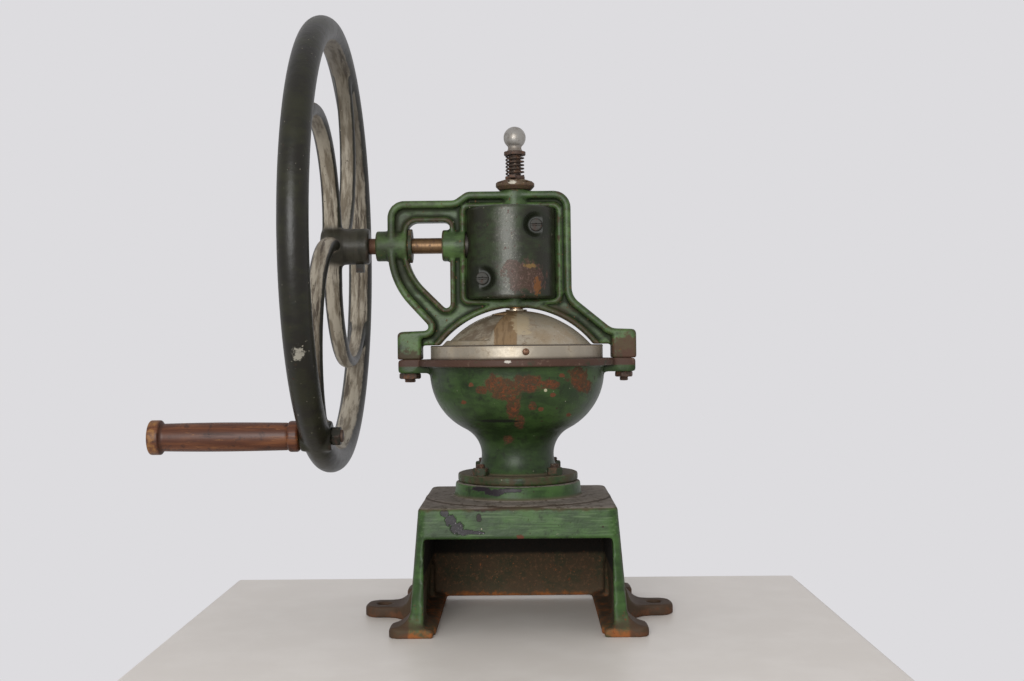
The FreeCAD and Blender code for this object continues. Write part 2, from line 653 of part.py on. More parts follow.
def wooden_grip():
    """Turned grip: a slim waist between two end beads, bored for its bolt."""
    y, z = handle_point()
    length = GRIP[1] - GRIP[0]
    outer_end = [line(0, 0, 12.5, 0), arc(12.5, 1.7, 1.7, -90, 0), line(14.2, 1.7, 14.2, 8),
                 arc(12.7, 8, 1.5, 0, 90), line(12.7, 9.5, 11.3, 11.5)]
    waist = Part.Arc(V(11.3, 0, 11.5), V(11.9, 0, length * 0.55), V(11.4, 0, length - 10.5)).toShape()
    inner_end = [line(11.4, length - 10.5, 12.7, length - 9.5), line(12.7, length - 9.5, 12.7, length - 1.5),
                 arc(11.2, length - 1.5, 1.5, 0, 90), line(11.2, length, 0, length), line(0, length, 0, 0)]
    grip = turned(outer_end + [waist] + inner_end)
    grip.rotate(V(0, 0, 0), ALONG_Y, 90)
    grip.translate(V(GRIP[0], y, z))
    grip = grip.cut(rod_x(PIN_R + 0.1, GRIP[0] - 1, GRIP[1] + 1, y, z))
    return grip.cut(rod_x(7.9, GRIP[0] - 1, GRIP[0] + 5.3, y, z))


# ---- bevel gears --------------------------------------------------------------------------------
def tooth_profile(pitch_r, cone_angle, depth_below):
    """Half a tooth's outline at its big end, as (sideways, outward) points on the flattened back cone."""
    flat_r = pitch_r / math.cos(cone_angle)
    base_r = flat_r * math.cos(PRESSURE)
    half_angle = (math.pi * MODULE / 2 - BACKLASH) / 2 / flat_r
    involute = math.tan(PRESSURE) - PRESSURE
    points = []
    root = flat_r - 1.2 * MODULE
    tip = flat_r + 0.95 * MODULE
    start = max(base_r, root)
    for step in range(5):
        radius = start + (tip - start) * step / 4
        roll = math.acos(min(1.0, base_r / radius))
        angle = half_angle + involute - (math.tan(roll) - roll)
        points.append((radius * math.sin(angle), radius * math.cos(angle) - flat_r))
    points.insert(0, (points[0][0] + 0.15, root - flat_r - depth_below))
    return points


def bevel_tooth(pitch_r, cone_angle):
    """One straight bevel tooth at azimuth zero of a gear on +Z whose pitch cone's tip is the origin below it."""
    outward = V(math.cos(cone_angle), 0, -math.sin(cone_angle))
    generator = V(math.sin(cone_angle), 0, math.cos(cone_angle))
    half = tooth_profile(pitch_r, cone_angle, 0.9)
    ends = []
    for distance in (CONE, CONE - FACE):
        scale = distance / CONE
        corners = []
        for side, rise in half:
            corners.append(generator * distance + (outward * rise + V(0, side, 0)) * scale)
        for side, rise in reversed(half):
            corners.append(generator * distance + (outward * rise - V(0, side, 0)) * scale)
        corners.append(corners[0])
        ends.append(Part.makePolygon(corners))
    return Part.makeLoft(ends, True, True)


def bevel_gear(pitch_r, teeth, angle0, back, hub_r, hub_end):
    """Bevel gear on +Z, its pitch cone's tip at the origin; the hub carries on away from the tip."""
    cone_angle = math.asin(pitch_r / CONE)
    outward = V(math.cos(cone_angle), 0, -math.sin(cone_angle))
    generator = V(math.sin(cone_angle), 0, math.cos(cone_angle))
    root = 1.2 * MODULE
    big = generator * CONE - outward * root
    small = generator * (CONE - FACE) - outward * (root * (CONE - FACE) / CONE)
    shrink = (back - big.z) / math.cos(math.pi / 2 - cone_angle)
    edge = big - outward * shrink
    blank = turned_outline([(0, small.z), (small.x, small.z), (big.x, big.z), (edge.x, back), (hub_r, back),
                            (hub_r, hub_end), (0, hub_end)])
    tooth = bevel_tooth(pitch_r, cone_angle)
    return blank.multiFuse(round_ring(teeth, tooth, angle0))


def pinion():
    """Bevel pinion on the crank, its hub towards the inner boss."""
    gear = bevel_gear(PINION_R, PINION_TEETH, 0.0, CROWN_R + 3.2, PINION_HUB_R, 44.3)
    gear = gear.cut(disc(SHAFT_R, 0, 60))
    gear = across(gear)
    return gear.cut(disc(PINION_PIN_R, CRANK_Z - 20, CRANK_Z + 20, PINION_PIN_X, 0))


def pinion_pin():
    return disc(PINION_PIN_R, CRANK_Z - 11.2, CRANK_Z + 11.2, PINION_PIN_X, 0)


def crown_gear():
    """Bevel wheel on the spindle below the crank, with a keyed bore."""
    half_tooth = 180.0 / CROWN_TEETH
    gear = bevel_gear(CROWN_R, CROWN_TEETH, half_tooth, CRANK_Z - CROWN_BACK, 12.0, CRANK_Z - BUSH_TOP)
    gear.rotate(V(0, 0, 0), ALONG_X, 180)
    gear.translate(V(0, 0, CRANK_Z))
    gear = gear.cut(disc(SPINDLE_R + RUN, 280, 330))
    return gear.cut(block(0, KEY_REACH, -KEY_HALF, KEY_HALF, 280, 330))


def feather_key():
    """Key held in the crown gear's bore; it slides in the spindle's keyway."""
    return block(4.0, KEY_REACH, -KEY_HALF, KEY_HALF, KEY_Z[0], KEY_Z[1])


# ---- spindle and burrs --------------------------------------------------------------------------
def spindle():
    """Round bar with a keyway under the crown gear and a shoulder under the inner burr."""
    bar = disc(SPINDLE_R, 86.5, SPINDLE_TOP)
    bar = fused([bar, disc(8.5, BURR_Z[0] - 2, BURR_Z[0])])
    keyway = block(3.9, 10, -KEY_HALF - RUN, KEY_HALF + RUN, KEY_Z[0] - 3, KEY_Z[1] + 3)
    return bar.cut(keyway)


def spindle_bush():
    """Flanged bronze bush in the frame's lower boss; its flange carries the crown gear."""
    body = fused([disc(SPINDLE_BUSH_R, LOW_BOSS_Z, BUSH_TOP - 1.5), disc(LOW_BOSS_R, BUSH_TOP - 1.5, BUSH_TOP - 0.1)])
    return body.cut(disc(SPINDLE_R + RUN, 260, 300))


def lower_spider():
    """Three-armed bridge under the burrs that steadies the spindle's foot and lets the grounds fall past."""
    foot, low, top = SPIDER_Z
    ring = tube(BURR_OUT, 25.0, low, top)
    arms = round_ring(3, block(9, 26, -3, 3, low, top), 30)
    hub = disc(11, foot, top)
    return fused([ring, hub] + arms).cut(disc(SPIDER_BORE_R, 80, 100))


def foot_bush():
    return tube(SPIDER_BORE_R, SPINDLE_R + RUN, SPIDER_Z[0], SPIDER_Z[2])


def burr_slot(radius_top, radius_low, angle):
    """Cutter for one sloping flute on a cone."""
    low = V(radius_low, 0, BURR_Z[0] - 2)
    high = V(radius_top, 0, BURR_Z[1] + 2)
    run = high - low
    cutter = Part.makeBox(2.2, 2.2, run.Length, V(-1.1, -1.1, 0), UP)
    cutter.rotate(V(0, 0, 0), UP, 45)
    cutter.rotate(V(0, 0, 0), ALONG_Y, math.degrees(math.atan2(run.x, run.z)))
    cutter.translate(low)
    cutter.rotate(V(radius_low, 0, BURR_Z[0]), ALONG_X, 14)
    cutter.rotate(V(0, 0, 0), UP, angle)
    return cutter


def inner_burr():
    """Cone clamped on the spindle, wider below, with slanting flutes."""
    cone = Part.makeCone(BURR_WIDE, BURR_SLIM, BURR_Z[1] - BURR_Z[0], V(0, 0, BURR_Z[0]), UP)
    flutes = 14
    for i in range(flutes):
        cone = cone.cut(burr_slot(BURR_SLIM - 0.4, BURR_WIDE + 1.0, 360.0 / flutes * i))
    return cone.cut(disc(SPINDLE_R, 90, 130))


def outer_burr():
    """Fixed grinding ring between the spider and the hopper's foot."""
    ring = disc(BURR_OUT, SPIDER_Z[2], RING_TOP)
    slope = (BURR_WIDE - BURR_SLIM) / (BURR_Z[1] - BURR_Z[0])
    start = SPIDER_Z[2] - 1
    low = BURR_WIDE + BURR_GAP + slope * (BURR_Z[0] - start)
    return ring.cut(Part.makeCone(low, low - slope * 30, 30, V(0, 0, start), UP))


def burr_nut():
    return hexagon(19.5, BURR_Z[1], BURR_Z[1] + 7).cut(disc(SPINDLE_R, 100, 140))


def swivel_cap():
    """Union nut on the spindle's top that holds the adjusting screw's foot but lets it stay still."""
    body = disc(8.6, CAP[0], CAP[1])
    body = body.cut(disc(SPINDLE_R, CAP[0] - 1, SPINDLE_TOP))
    body = body.cut(disc(CAP_BORE_R, SPINDLE_TOP, CAP[1] - CAP_LIP))
    return body.cut(disc(4.6, CAP[1] - CAP_LIP - 1, CAP[1] + 1))


# ---- burr adjustment on top ---------------------------------------------------------------------
def adjusting_screw():
    foot = disc(CAP_BORE_R - 0.15, SPINDLE_TOP + FOOT_GAP, CAP[1] - CAP_LIP - FOOT_GAP)
    neck = disc(4.5, CAP[1] - CAP_LIP - 1, CAP[1] + 2)
    return fused([foot, neck, disc(SCREW_R, CAP[1] + 2, WASHER_Z[1] + 10)])


def notched_disc():
    """Domed click plate screwed on the frame's top boss, with eight notches in its edge."""
    bore = SCREW_R + 0.4
    edge, roll = 17.3, 2.0
    roll_z = 381.0
    slope_r = edge - roll + roll * math.cos(math.pi / 3)
    slope_z = roll_z + roll * math.sin(math.pi / 3)
    profile = [line(bore, TOP_BOSS_Z, 14.2, TOP_BOSS_Z), line(14.2, TOP_BOSS_Z, edge, 378.8),
               line(edge, 378.8, edge, roll_z), arc(edge - roll, roll_z, roll, 0, 60),
               line(slope_r, slope_z, 10.0, DISC_TOP), line(10.0, DISC_TOP, bore, DISC_TOP),
               line(bore, DISC_TOP, bore, TOP_BOSS_Z)]
    plate = turned(profile)
    for notch in round_ring(8, block(13.2, 20, -3.6, 3.6, NOTCH_Z, 390), FINGER_AZIMUTH):
        plate = plate.cut(notch)
    return plate


def index_collar():
    """Collar that turns with the screw; its finger passes over the notches."""
    ring = disc(8.8, DISC_TOP + 0.3, COLLAR_TOP)
    finger = block(5, 15.4, -2.6, 2.6, DISC_TOP + 0.3, COLLAR_TOP)
    finger.rotate(V(0, 0, 0), UP, FINGER_AZIMUTH)
    return fused([ring, finger]).cut(disc(SCREW_R + RUN, 380, 390))


def click_spring():
    """Compression spring between the collar and the washer."""
    low = COLLAR_TOP + WIRE_R + 0.05
    high = WASHER_Z[0] - WIRE_R - 0.05
    helix = Part.makeHelix((high - low) / COILS, high - low, COIL_R)
    helix.translate(V(0, 0, low))
    section = Part.Wire(Part.makeCircle(WIRE_R, V(COIL_R, 0, low), ALONG_Y))
    return Part.Wire(helix).makePipeShell([section], True, True)


def spring_washer():
    return tube(9.65, SCREW_R, WASHER_Z[0], WASHER_Z[1])


def adjuster_knob():
    """Pear-shaped knob screwed on the screw's top."""
    centre_z = KNOB_TOP - KNOB_R
    waist_z = WASHER_Z[1] + 4.4
    turn = math.radians(-52.0)
    join_r = KNOB_R * math.cos(turn)
    join_z = centre_z + KNOB_R * math.sin(turn)
    waist = Part.BSplineCurve()
    waist.interpolate([V(join_r, 0, join_z), V(6.1, 0, waist_z - 0.6), V(KNOB_FOOT_R, 0, WASHER_Z[1] + 0.6)])
    profile = [Part.Arc(V(0, 0, KNOB_TOP), V(KNOB_R, 0, centre_z), V(join_r, 0, join_z)).toShape(),
               waist.toShape(), line(KNOB_FOOT_R, WASHER_Z[1] + 0.6, KNOB_FOOT_R - 0.3, WASHER_Z[1]),
               line(KNOB_FOOT_R - 0.3, WASHER_Z[1], 0, WASHER_Z[1]), line(0, WASHER_Z[1], 0, KNOB_TOP)]
    return turned(profile).cut(disc(SCREW_R, 400, WASHER_Z[1] + 10))


# ---- lid ----------------------------------------------------------------------------------------
def dome_edges(outer, inner, r_in, r_out):
    """Closed profile between two concentric dome arcs, from an inner to an outer radius."""
    top_out = V(r_in, 0, DOME_Z + math.sqrt(outer ** 2 - r_in ** 2))
    low_out = V(r_out, 0, DOME_Z + math.sqrt(outer ** 2 - r_out ** 2))
    top_in = V(r_in, 0, DOME_Z + math.sqrt(inner ** 2 - r_in ** 2))
    low_in = V(r_out, 0, DOME_Z + math.sqrt(inner ** 2 - r_out ** 2))
    mid_r = (r_in + r_out) / 2
    mid_out = V(mid_r, 0, DOME_Z + math.sqrt(outer ** 2 - mid_r ** 2))
    mid_in = V(mid_r, 0, DOME_Z + math.sqrt(inner ** 2 - mid_r ** 2))
    return [Part.Arc(top_out, mid_out, low_out).toShape(), Part.LineSegment(low_out, low_in).toShape(),
            Part.Arc(low_in, mid_in, top_in).toShape(), Part.LineSegment(top_in, top_out).toShape()]


def sector(r_in, r_out, azimuth0, azimuth1):
    """Upright wedge of a ring, to cut the dome's window and to trim the shutter."""
    edge = [line(r_in, 200, r_out, 200), line(r_out, 200, r_out, 300), line(r_out, 300, r_in, 300),
            line(r_in, 300, r_in, 200)]
    wedge = turned(edge, azimuth1 - azimuth0)
    wedge.rotate(V(0, 0, 0), UP, azimuth0)
    return wedge


def lid_shell():
    """Spun dome with a flat shoulder and a turned-down band; a sector is cut out for filling."""
    dome = turned(dome_edges(DOME_R, DOME_R - SHEET, EYELET_R, DOME_BASE_R))
    shoulder = tube(BAND_R, DOME_BASE_R - 1.6, SHOULDER_Z - SHEET, SHOULDER_Z)
    band = tube(BAND_R, BAND_R - SHEET, RIM_Z, SHOULDER_Z)
    shell = fused([dome, shoulder, band])
    for angle in LID_SCREW_ANGLES:
        hole = rod_x(LID_SCREW_R, BAND_R - 3, BAND_R + 3, 0, LID_SCREW_Z)
        hole.rotate(V(0, 0, 0), UP, angle)
        shell = shell.cut(hole)
    return shell.cut(sector(WINDOW_R[0], WINDOW_R[1], WINDOW_FROM, WINDOW_TO))


def lid_ring():
    """Ring inside the band that locates the lid in the hopper's mouth."""
    upper = tube(BAND_R - SHEET, LID_RING_R, RIM_Z, RIM_Z + 9)
    ring = fused([upper, tube(MOUTH_R - 0.4, LID_RING_R, RIM_Z - 5, RIM_Z + 1)])
    for angle in LID_SCREW_ANGLES:
        hole = rod_x(LID_SCREW_R, 72, BAND_R + 3, 0, LID_SCREW_Z)
        hole.rotate(V(0, 0, 0), UP, angle)
        ring = ring.cut(hole)
    return ring


def lid_screws():
    """Three round-head screws through the band."""
    screws = []
    for angle in LID_SCREW_ANGLES:
        head = Part.makeSphere(3.2, V(BAND_R - 1.2, 0, LID_SCREW_Z))
        head = head.common(block(BAND_R, BAND_R + 5, -5, 5, 200, 260))
        screw = fused([head, rod_x(LID_SCREW_R, 72, BAND_R + 0.5, 0, LID_SCREW_Z)])
        screw.rotate(V(0, 0, 0), UP, angle)
        screws.append(screw)
    return Part.makeCompound(screws)


def lid_shutter():
    """Sector of sheet that turns close under the dome, on a ring round the spindle."""
    outer = DOME_R - SHEET - SHUTTER_GAP
    hub = turned(dome_edges(outer, outer - SHUTTER_SHEET, EYELET_R + 0.1, 16))
    wing = turned(dome_edges(outer, outer - SHUTTER_SHEET, 12, 63.5))
    wing = wing.common(sector(12, 70, SHUTTER_FROM, SHUTTER_FROM + SHUTTER_SPAN))
    return fused([hub, wing])


def lid_eyelet():
    """Flanged eyelet in the dome's crown: the spindle passes through it and the shutter hangs from it."""
    crown = DOME_Z + math.sqrt(DOME_R ** 2 - EYELET_R ** 2)
    under = DOME_Z + math.sqrt((DOME_R - SHEET - SHUTTER_GAP - SHUTTER_SHEET) ** 2 - 10.0 ** 2) - 0.15
    barrel = tube(EYELET_R, SPINDLE_R + 0.4, under - 0.9, crown + 1.1)
    return fused([barrel, tube(9.6, EYELET_R, crown, crown + 1.1), tube(10.0, EYELET_R, under - 0.9, under)])


# ---- write every piece --------------------------------------------------------------------------
PIECES = {
    "base": base, "hopper": hopper, "hopper_flange_studs": flange_studs, "hopper_flange_nuts": flange_nuts,
    "bridge_frame": bridge_frame,
    "left_rim_stud": lambda: rim_stud("left"), "right_rim_stud": lambda: rim_stud("right"),
    "left_rim_nut": lambda: rim_nut("left"), "right_rim_nut": lambda: rim_nut("right"),
    "front_gear_cover": front_cover, "rear_gear_cover": lambda: mirrored(front_cover(), ALONG_Y),
    "front_cover_screws": front_screws, "rear_cover_screws": lambda: mirrored(front_screws(), ALONG_Y),
    "flywheel": flywheel, "flywheel_set_screw": set_screw, "crank_shaft": crank_shaft,
    "shaft_collar": shaft_collar,
    "outer_crank_bush": lambda: crank_bush(BOSS_LEFT), "inner_crank_bush": lambda: crank_bush(BOSS_RIGHT),
    "handle_pin": handle_pin, "handle_nut": handle_nut, "wooden_grip": wooden_grip,
    "pinion": pinion, "pinion_pin": pinion_pin, "crown_gear": crown_gear, "feather_key": feather_key,
    "spindle": spindle, "spindle_bush": spindle_bush, "lower_spider": lower_spider, "foot_bush": foot_bush,
    "inner_burr": inner_burr, "outer_burr": outer_burr, "burr_nut": burr_nut, "swivel_cap": swivel_cap,
    "adjusting_screw": adjusting_screw, "notched_disc": notched_disc, "index_collar": index_collar,
    "click_spring": click_spring, "spring_washer": spring_washer, "adjuster_knob": adjuster_knob,
    "lid_shell": lid_shell, "lid_ring": lid_ring, "lid_screws": lid_screws, "lid_shutter": lid_shutter,
    "lid_eyelet": lid_eyelet,
}

for name, make in PIECES.items():
    save(name, make())
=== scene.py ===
import bpy
import bmesh
import numpy as np
from mathutils import Matrix


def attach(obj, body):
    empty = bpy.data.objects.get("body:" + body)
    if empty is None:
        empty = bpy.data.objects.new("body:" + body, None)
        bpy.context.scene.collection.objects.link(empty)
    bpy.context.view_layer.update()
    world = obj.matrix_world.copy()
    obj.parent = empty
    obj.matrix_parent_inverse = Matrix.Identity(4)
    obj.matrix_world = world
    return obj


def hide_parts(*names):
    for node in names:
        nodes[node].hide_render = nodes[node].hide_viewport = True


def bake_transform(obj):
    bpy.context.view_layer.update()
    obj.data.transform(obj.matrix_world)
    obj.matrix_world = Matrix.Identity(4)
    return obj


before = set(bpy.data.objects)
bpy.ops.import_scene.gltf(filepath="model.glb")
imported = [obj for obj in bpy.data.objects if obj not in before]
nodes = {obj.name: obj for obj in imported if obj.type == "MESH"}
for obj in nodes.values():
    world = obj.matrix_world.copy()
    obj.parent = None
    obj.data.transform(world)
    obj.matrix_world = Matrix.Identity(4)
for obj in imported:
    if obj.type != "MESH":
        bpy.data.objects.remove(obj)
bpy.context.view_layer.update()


# ---- Base casting -------------------------------------------------------------------------------
# Open-fronted iron box on four flared feet, with two bolt-down ears and a round seat on top.
# One sand casting, brushed with green enamel; the drawer space behind was never painted well.

def averaged(values, edges):
    """Each point's neighbours' mean: their values summed over the edges, over the count of edges."""
    here = np.concatenate([edges[:, 0], edges[:, 1]])
    there = np.concatenate([edges[:, 1], edges[:, 0]])
    count = np.maximum(np.bincount(here, minlength=len(values)), 1)
    sums = [np.bincount(here, weights=column[there], minlength=len(values)) for column in values.T]
    return np.stack(sums, axis=-1) / count[:, None]


def points_and_edges(mesh):
    """A mesh's points, their normals and its edges, as arrays."""
    points = np.empty(len(mesh.vertices) * 3)
    normals = np.empty(len(mesh.vertices) * 3)
    edges = np.empty(len(mesh.edges) * 2, dtype=np.int32)
    mesh.vertices.foreach_get("co", points)
    mesh.vertices.foreach_get("normal", normals)
    mesh.edges.foreach_get("vertices", edges)
    return points.reshape(-1, 3), normals.reshape(-1, 3), edges.reshape(-1, 2)


def mark_wear(piece, gain=1.0, reach=3):
    """Stores in "wear" how sharply the skin turns: the height of each point over its averaged
    neighbourhood, along the normal, in edge lengths. Ridges come out positive and hollows negative."""
    points, normals, edges = points_and_edges(piece.data)
    calm = points
    for _ in range(reach):
        calm = calm + 0.6 * (averaged(calm, edges) - calm)
    span = np.linalg.norm(points[edges[:, 0]] - points[edges[:, 1]], axis=1)
    total = np.bincount(edges.ravel(), weights=np.repeat(span, 2), minlength=len(points))
    pitch = total / np.maximum(np.bincount(edges.ravel(), minlength=len(points)), 1)
    ridge = np.einsum("ij,ij->i", points - calm, normals) / np.maximum(pitch, 1e-7)
    ridge = averaged(ridge[:, None], edges)[:, 0] * 0.5 + ridge * 0.5
    layer = piece.data.attributes.new("wear", "FLOAT", "POINT")
    layer.data.foreach_set("value", np.clip(ridge * gain, -1, 1).astype(np.float32))


def merged_copy(node):
    """The solid's mesh as one closed skin: its loose triangles with their shared corners welded."""
    mesh = nodes[node].data.copy()
    skin = bmesh.new()
    skin.from_mesh(mesh)
    bmesh.ops.remove_doubles(skin, verts=skin.verts, dist=1e-6)
    skin.to_mesh(mesh)
    skin.free()
    mesh.materials.clear()
    piece = bpy.data.objects.new(node + "_cast", mesh)
    bpy.context.scene.collection.objects.link(piece)
    return piece


def cast_skin(piece, grain, rounds):
    """Remeshes a closed form in even cells, then lets each point sink towards its neighbours and back out
    again, a little less each time, so that corners come out rounded as they leave the sand. The skin keeps
    inside the box of the form that it started from."""
    corners = points_and_edges(piece.data)[0]
    remesh = piece.modifiers.new("sand", "REMESH")
    remesh.mode = "VOXEL"
    remesh.voxel_size = grain / 1000
    ready = piece.evaluated_get(bpy.context.evaluated_depsgraph_get())
    mesh = bpy.data.meshes.new_from_object(ready)
    piece.modifiers.clear()
    piece.data = mesh
    points, _, edges = points_and_edges(mesh)
    for _ in range(rounds):
        points = points + 0.62 * (averaged(points, edges) - points)
        points = points - 0.45 * (averaged(points, edges) - points)
    points = np.clip(points, corners.min(axis=0), corners.max(axis=0))
    mesh.vertices.foreach_set("co", points.ravel())
    mesh.update()
    mesh.polygons.foreach_set("use_smooth", np.ones(len(mesh.polygons), dtype=bool))
    return piece


class Reading:
    """A number that changes over a surface: one socket of a finish, written in sums as any number is."""

    def __init__(self, finish, socket):
        self.finish = finish
        self.socket = socket

    def maths(self, operation, first, second):
        return self.finish.add("ShaderNodeMath", {"operation": operation}, {0: first, 1: second})

    def __add__(self, other):
        return self.maths("ADD", self, other)

    __radd__ = __add__

    def __sub__(self, other):
        return self.maths("SUBTRACT", self, other)

    def __rsub__(self, other):
        return self.maths("SUBTRACT", other, self)

    def __mul__(self, other):
        return self.maths("MULTIPLY", self, other)

    __rmul__ = __mul__

    def __abs__(self):
        return self.maths("ABSOLUTE", self, 0.0)

    def most(self, other):
        return self.maths("MAXIMUM", self, other)

    def ragged(self, amount, size, detail=4.0, rough=0.55):
        """This number with cloudy noise added, up to half the amount either way."""
        return self + (self.finish.noise(size, detail, rough) - 0.5) * amount

    def step(self, low, high):
        """0 below low, 1 above high, and an easy slope between; the other way round if low is the larger."""
        return self.finish.add("ShaderNodeMapRange", {"interpolation_type": "SMOOTHSTEP"},
                               {0: self, 1: low, 2: high})


def enamel(red, green, blue):
    """A colour given as display values from 0 to 255, as the linear values that a shader takes."""
    shares = np.array([red, green, blue]) / 255
    linear = np.where(shares <= 0.04045, shares / 12.92, ((shares + 0.055) / 1.055) ** 2.4)
    return (*linear.tolist(), 1.0)


class Finish:
    """A surface finish laid on in coats, the first one all over and each later one where its mask says.
    Colours are display values from 0 to 255."""

    def __init__(self, name, colour, rough, metal=0.0):
        self.material = bpy.data.materials.new(name)
        self.material.use_nodes = True
        self.tree = self.material.node_tree
        self.tree.nodes.clear()
        self.place = self.add("ShaderNodeTexCoord", {}, {}, "Object")
        self.colour = enamel(*colour)
        self.rough = rough
        self.metal = metal
        self.height = 0.0

    def add(self, kind, settings, values, take=0):
        """One node: its settings first, then its sockets' values or links, and the output that is wanted."""
        node = self.tree.nodes.new(kind)
        for setting, value in settings.items():
            setattr(node, setting, value)
        for key, value in values.items():
            if isinstance(value, Reading):
                self.tree.links.new(value.socket, node.inputs[key])
            else:
                node.inputs[key].default_value = value
        return Reading(self, node.outputs[take])

    def noise(self, size, detail=4.0, rough=0.55, stretch=None, bend=0.0):
        """Cloudy pattern about size millimetres across, drawn out along the axes by stretch."""
        where = self.place
        if stretch is not None:
            where = self.add("ShaderNodeMapping", {}, {"Vector": where, "Scale": stretch})
        return self.add("ShaderNodeTexNoise", {}, {"Vector": where, "Scale": 1000 / size, "Detail": detail,
                                                   "Roughness": rough, "Distortion": bend})

    def along(self, axis):
        """Place along X, Y or Z, in millimetres."""
        return self.add("ShaderNodeSeparateXYZ", {}, {0: self.place}, axis) * 1000.0

    def facing(self, axis):
        """How far the surface faces along X, Y or Z, from -1 to 1."""
        normal = self.add("ShaderNodeTexCoord", {}, {}, "Normal")
        return self.add("ShaderNodeSeparateXYZ", {}, {0: normal}, axis)

    def length(self, **sides):
        """How long the line with these X, Y and Z sides is."""
        line = self.add("ShaderNodeCombineXYZ", {}, sides)
        return self.add("ShaderNodeVectorMath", {"operation": "LENGTH"}, {0: line}, "Value")

    def wear(self):
        """How sharply the skin turns, as mark_wear left it."""
        return self.add("ShaderNodeAttribute", {"attribute_name": "wear"}, {}, "Fac")

    def patch(self, centre, radii, ragged=0.5, size=7.0):
        """1 inside an ellipsoid round a centre in millimetres, with an edge broken up by noise."""
        away = self.add("ShaderNodeMapping", {}, {
            "Vector": self.place, "Location": [-c / r for c, r in zip(centre, radii)],
            "Scale": [1000 / r for r in radii]})
        distance = self.add("ShaderNodeVectorMath", {"operation": "LENGTH"}, {0: away}, "Value")
        return distance.ragged(4.0 * ragged, size, 8.0, 0.74).step(1.12, 0.84)

    def patches(self, places, ragged, size):
        """Several patches as one mask."""
        mask = self.patch(*places[0], ragged, size)
        for centre, radii in places[1:]:
            mask = mask.most(self.patch(centre, radii, ragged, size))
        return mask

    def coat(self, mask, colour, rough=None, metal=None, height=0.0):
        """Lays another coat where the mask is 1; height is how far it stands proud, in millimetres."""
        self.colour = self.add("ShaderNodeMix", {"data_type": "RGBA"},
                               {0: mask, 6: self.colour, 7: enamel(*colour)}, 2)
        if rough is not None:
            self.rough = self.rough + (rough - self.rough) * mask
        if metal is not None:
            self.metal = self.metal + (metal - self.metal) * mask
        if height:
            self.height = self.height + mask * height

    def grain(self, pattern, height):
        """Adds a raised pattern, in millimetres, without touching the colour."""
        self.height = self.height + pattern * height

    def seal(self, specular=0.5):
        """Gathers the coats in one shader and returns the material."""
        values = {"Base Color": self.colour, "Roughness": self.rough, "Metallic": self.metal,
                  "Specular IOR Level": specular}
        if isinstance(self.height, Reading):
            values["Normal"] = self.add("ShaderNodeBump", {}, {"Distance": 0.001, "Height": self.height})
        shader = self.add("ShaderNodeBsdfPrincipled", {}, values)
        output = self.tree.nodes.new("ShaderNodeOutputMaterial")
        self.tree.links.new(shader.socket, output.inputs["Surface"])
        return self.material


def old_enamel(name, deep, bright, under=(56, 42, 28), grime=(20, 22, 14), shine=0.4, thin=0.0):
    """Brushed enamel on cast iron: two tones of paint, grime in the hollows, brown primer here and there
    on the ridges, small chips, and the skin of the casting showing through. thin wears more of it away."""
    finish = Finish(name, deep, shine)
    ridge = finish.wear()
    cloud = finish.noise(34, 5.0, 0.6)
    brush = finish.noise(5, 3.0, 0.6, stretch=(0.3, 0.3, 1.0))
    finish.coat((cloud + brush * 0.5).step(0.62, 0.92), bright, shine + 0.04)
    finish.coat(finish.noise(11, 6.0, 0.7).step(0.54, 0.68) * 0.6, grime, shine + 0.12)
    finish.coat((brush * 0.5 - ridge).step(0.28, 0.55) * 0.8, grime, 0.75)
    spread = finish.noise(26, 4.0, 0.6).step(0.40, 0.58)
    rubbed = ridge.ragged(1.1, 8, 5.0, 0.65).step(0.30 - thin, 0.52 - thin)
    finish.coat(rubbed * (0.25 + spread * 0.65), under, 0.6, height=-0.04)
    bare = ridge.ragged(0.9, 3.4, 4.0, 0.7).step(0.56 - thin, 0.72 - thin)
    finish.coat(bare * spread * 0.7, (112, 96, 80), 0.46, 0.3, height=-0.04)
    chips = finish.noise(3.6, 2.0, 0.5).step(0.695 - thin * 0.3, 0.73 - thin * 0.3)
    finish.coat(chips * cloud.step(0.40, 0.55), (44, 32, 22), 0.7, height=-0.06)
    pale = finish.noise(2.6, 2.0, 0.5).step(0.755, 0.78)
    finish.coat(pale, (138, 134, 116), 0.6, height=-0.04)
    finish.grain(finish.noise(1.5, 3.0, 0.6), 0.09)
    finish.grain(finish.noise(9, 3.0, 0.5), 0.32)
    return finish


def fit(piece, material, body, node):
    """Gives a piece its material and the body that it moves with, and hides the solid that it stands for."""
    piece.data.materials.append(material)
    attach(piece, body)
    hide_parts(node)


base_cast = cast_skin(merged_copy("base"), grain=1.56, rounds=4)
mark_wear(base_cast, gain=1.2)
green_base = old_enamel("green_enamel_base", (38, 56, 28), (56, 82, 40))
sideways, front, height = (green_base.along(axis) for axis in "XYZ")
up = green_base.facing("Z")
strokes = green_base.noise(1.5, 3.0, 0.6, stretch=(0.06, 1.0, 1.0))
rail = front.step(-76, -79) * height.step(79, 81)
green_base.coat(rail * strokes.step(0.56, 0.70) * 0.55, (86, 104, 72), 0.5)
green_base.coat(rail * strokes.step(0.46, 0.34) * 0.5, (36, 50, 28), 0.5)
inside = (front + green_base.noise(20) * 6.0).step(-70, -62) * green_base.facing("Y").step(0.6, 0.3)
inside = inside * height.step(100, 97) * abs(sideways).step(86, 80)
green_base.coat(inside * 0.95, (62, 48, 34), 0.82)
green_base.coat(inside * green_base.noise(22, 6.0, 0.72).step(0.46, 0.60) * 0.7, (40, 44, 28), 0.75)
speckle = inside * green_base.noise(3.5, 6.0, 0.78).step(0.50, 0.66)
green_base.coat(speckle * 0.7, (98, 72, 52), 0.9, height=0.08)
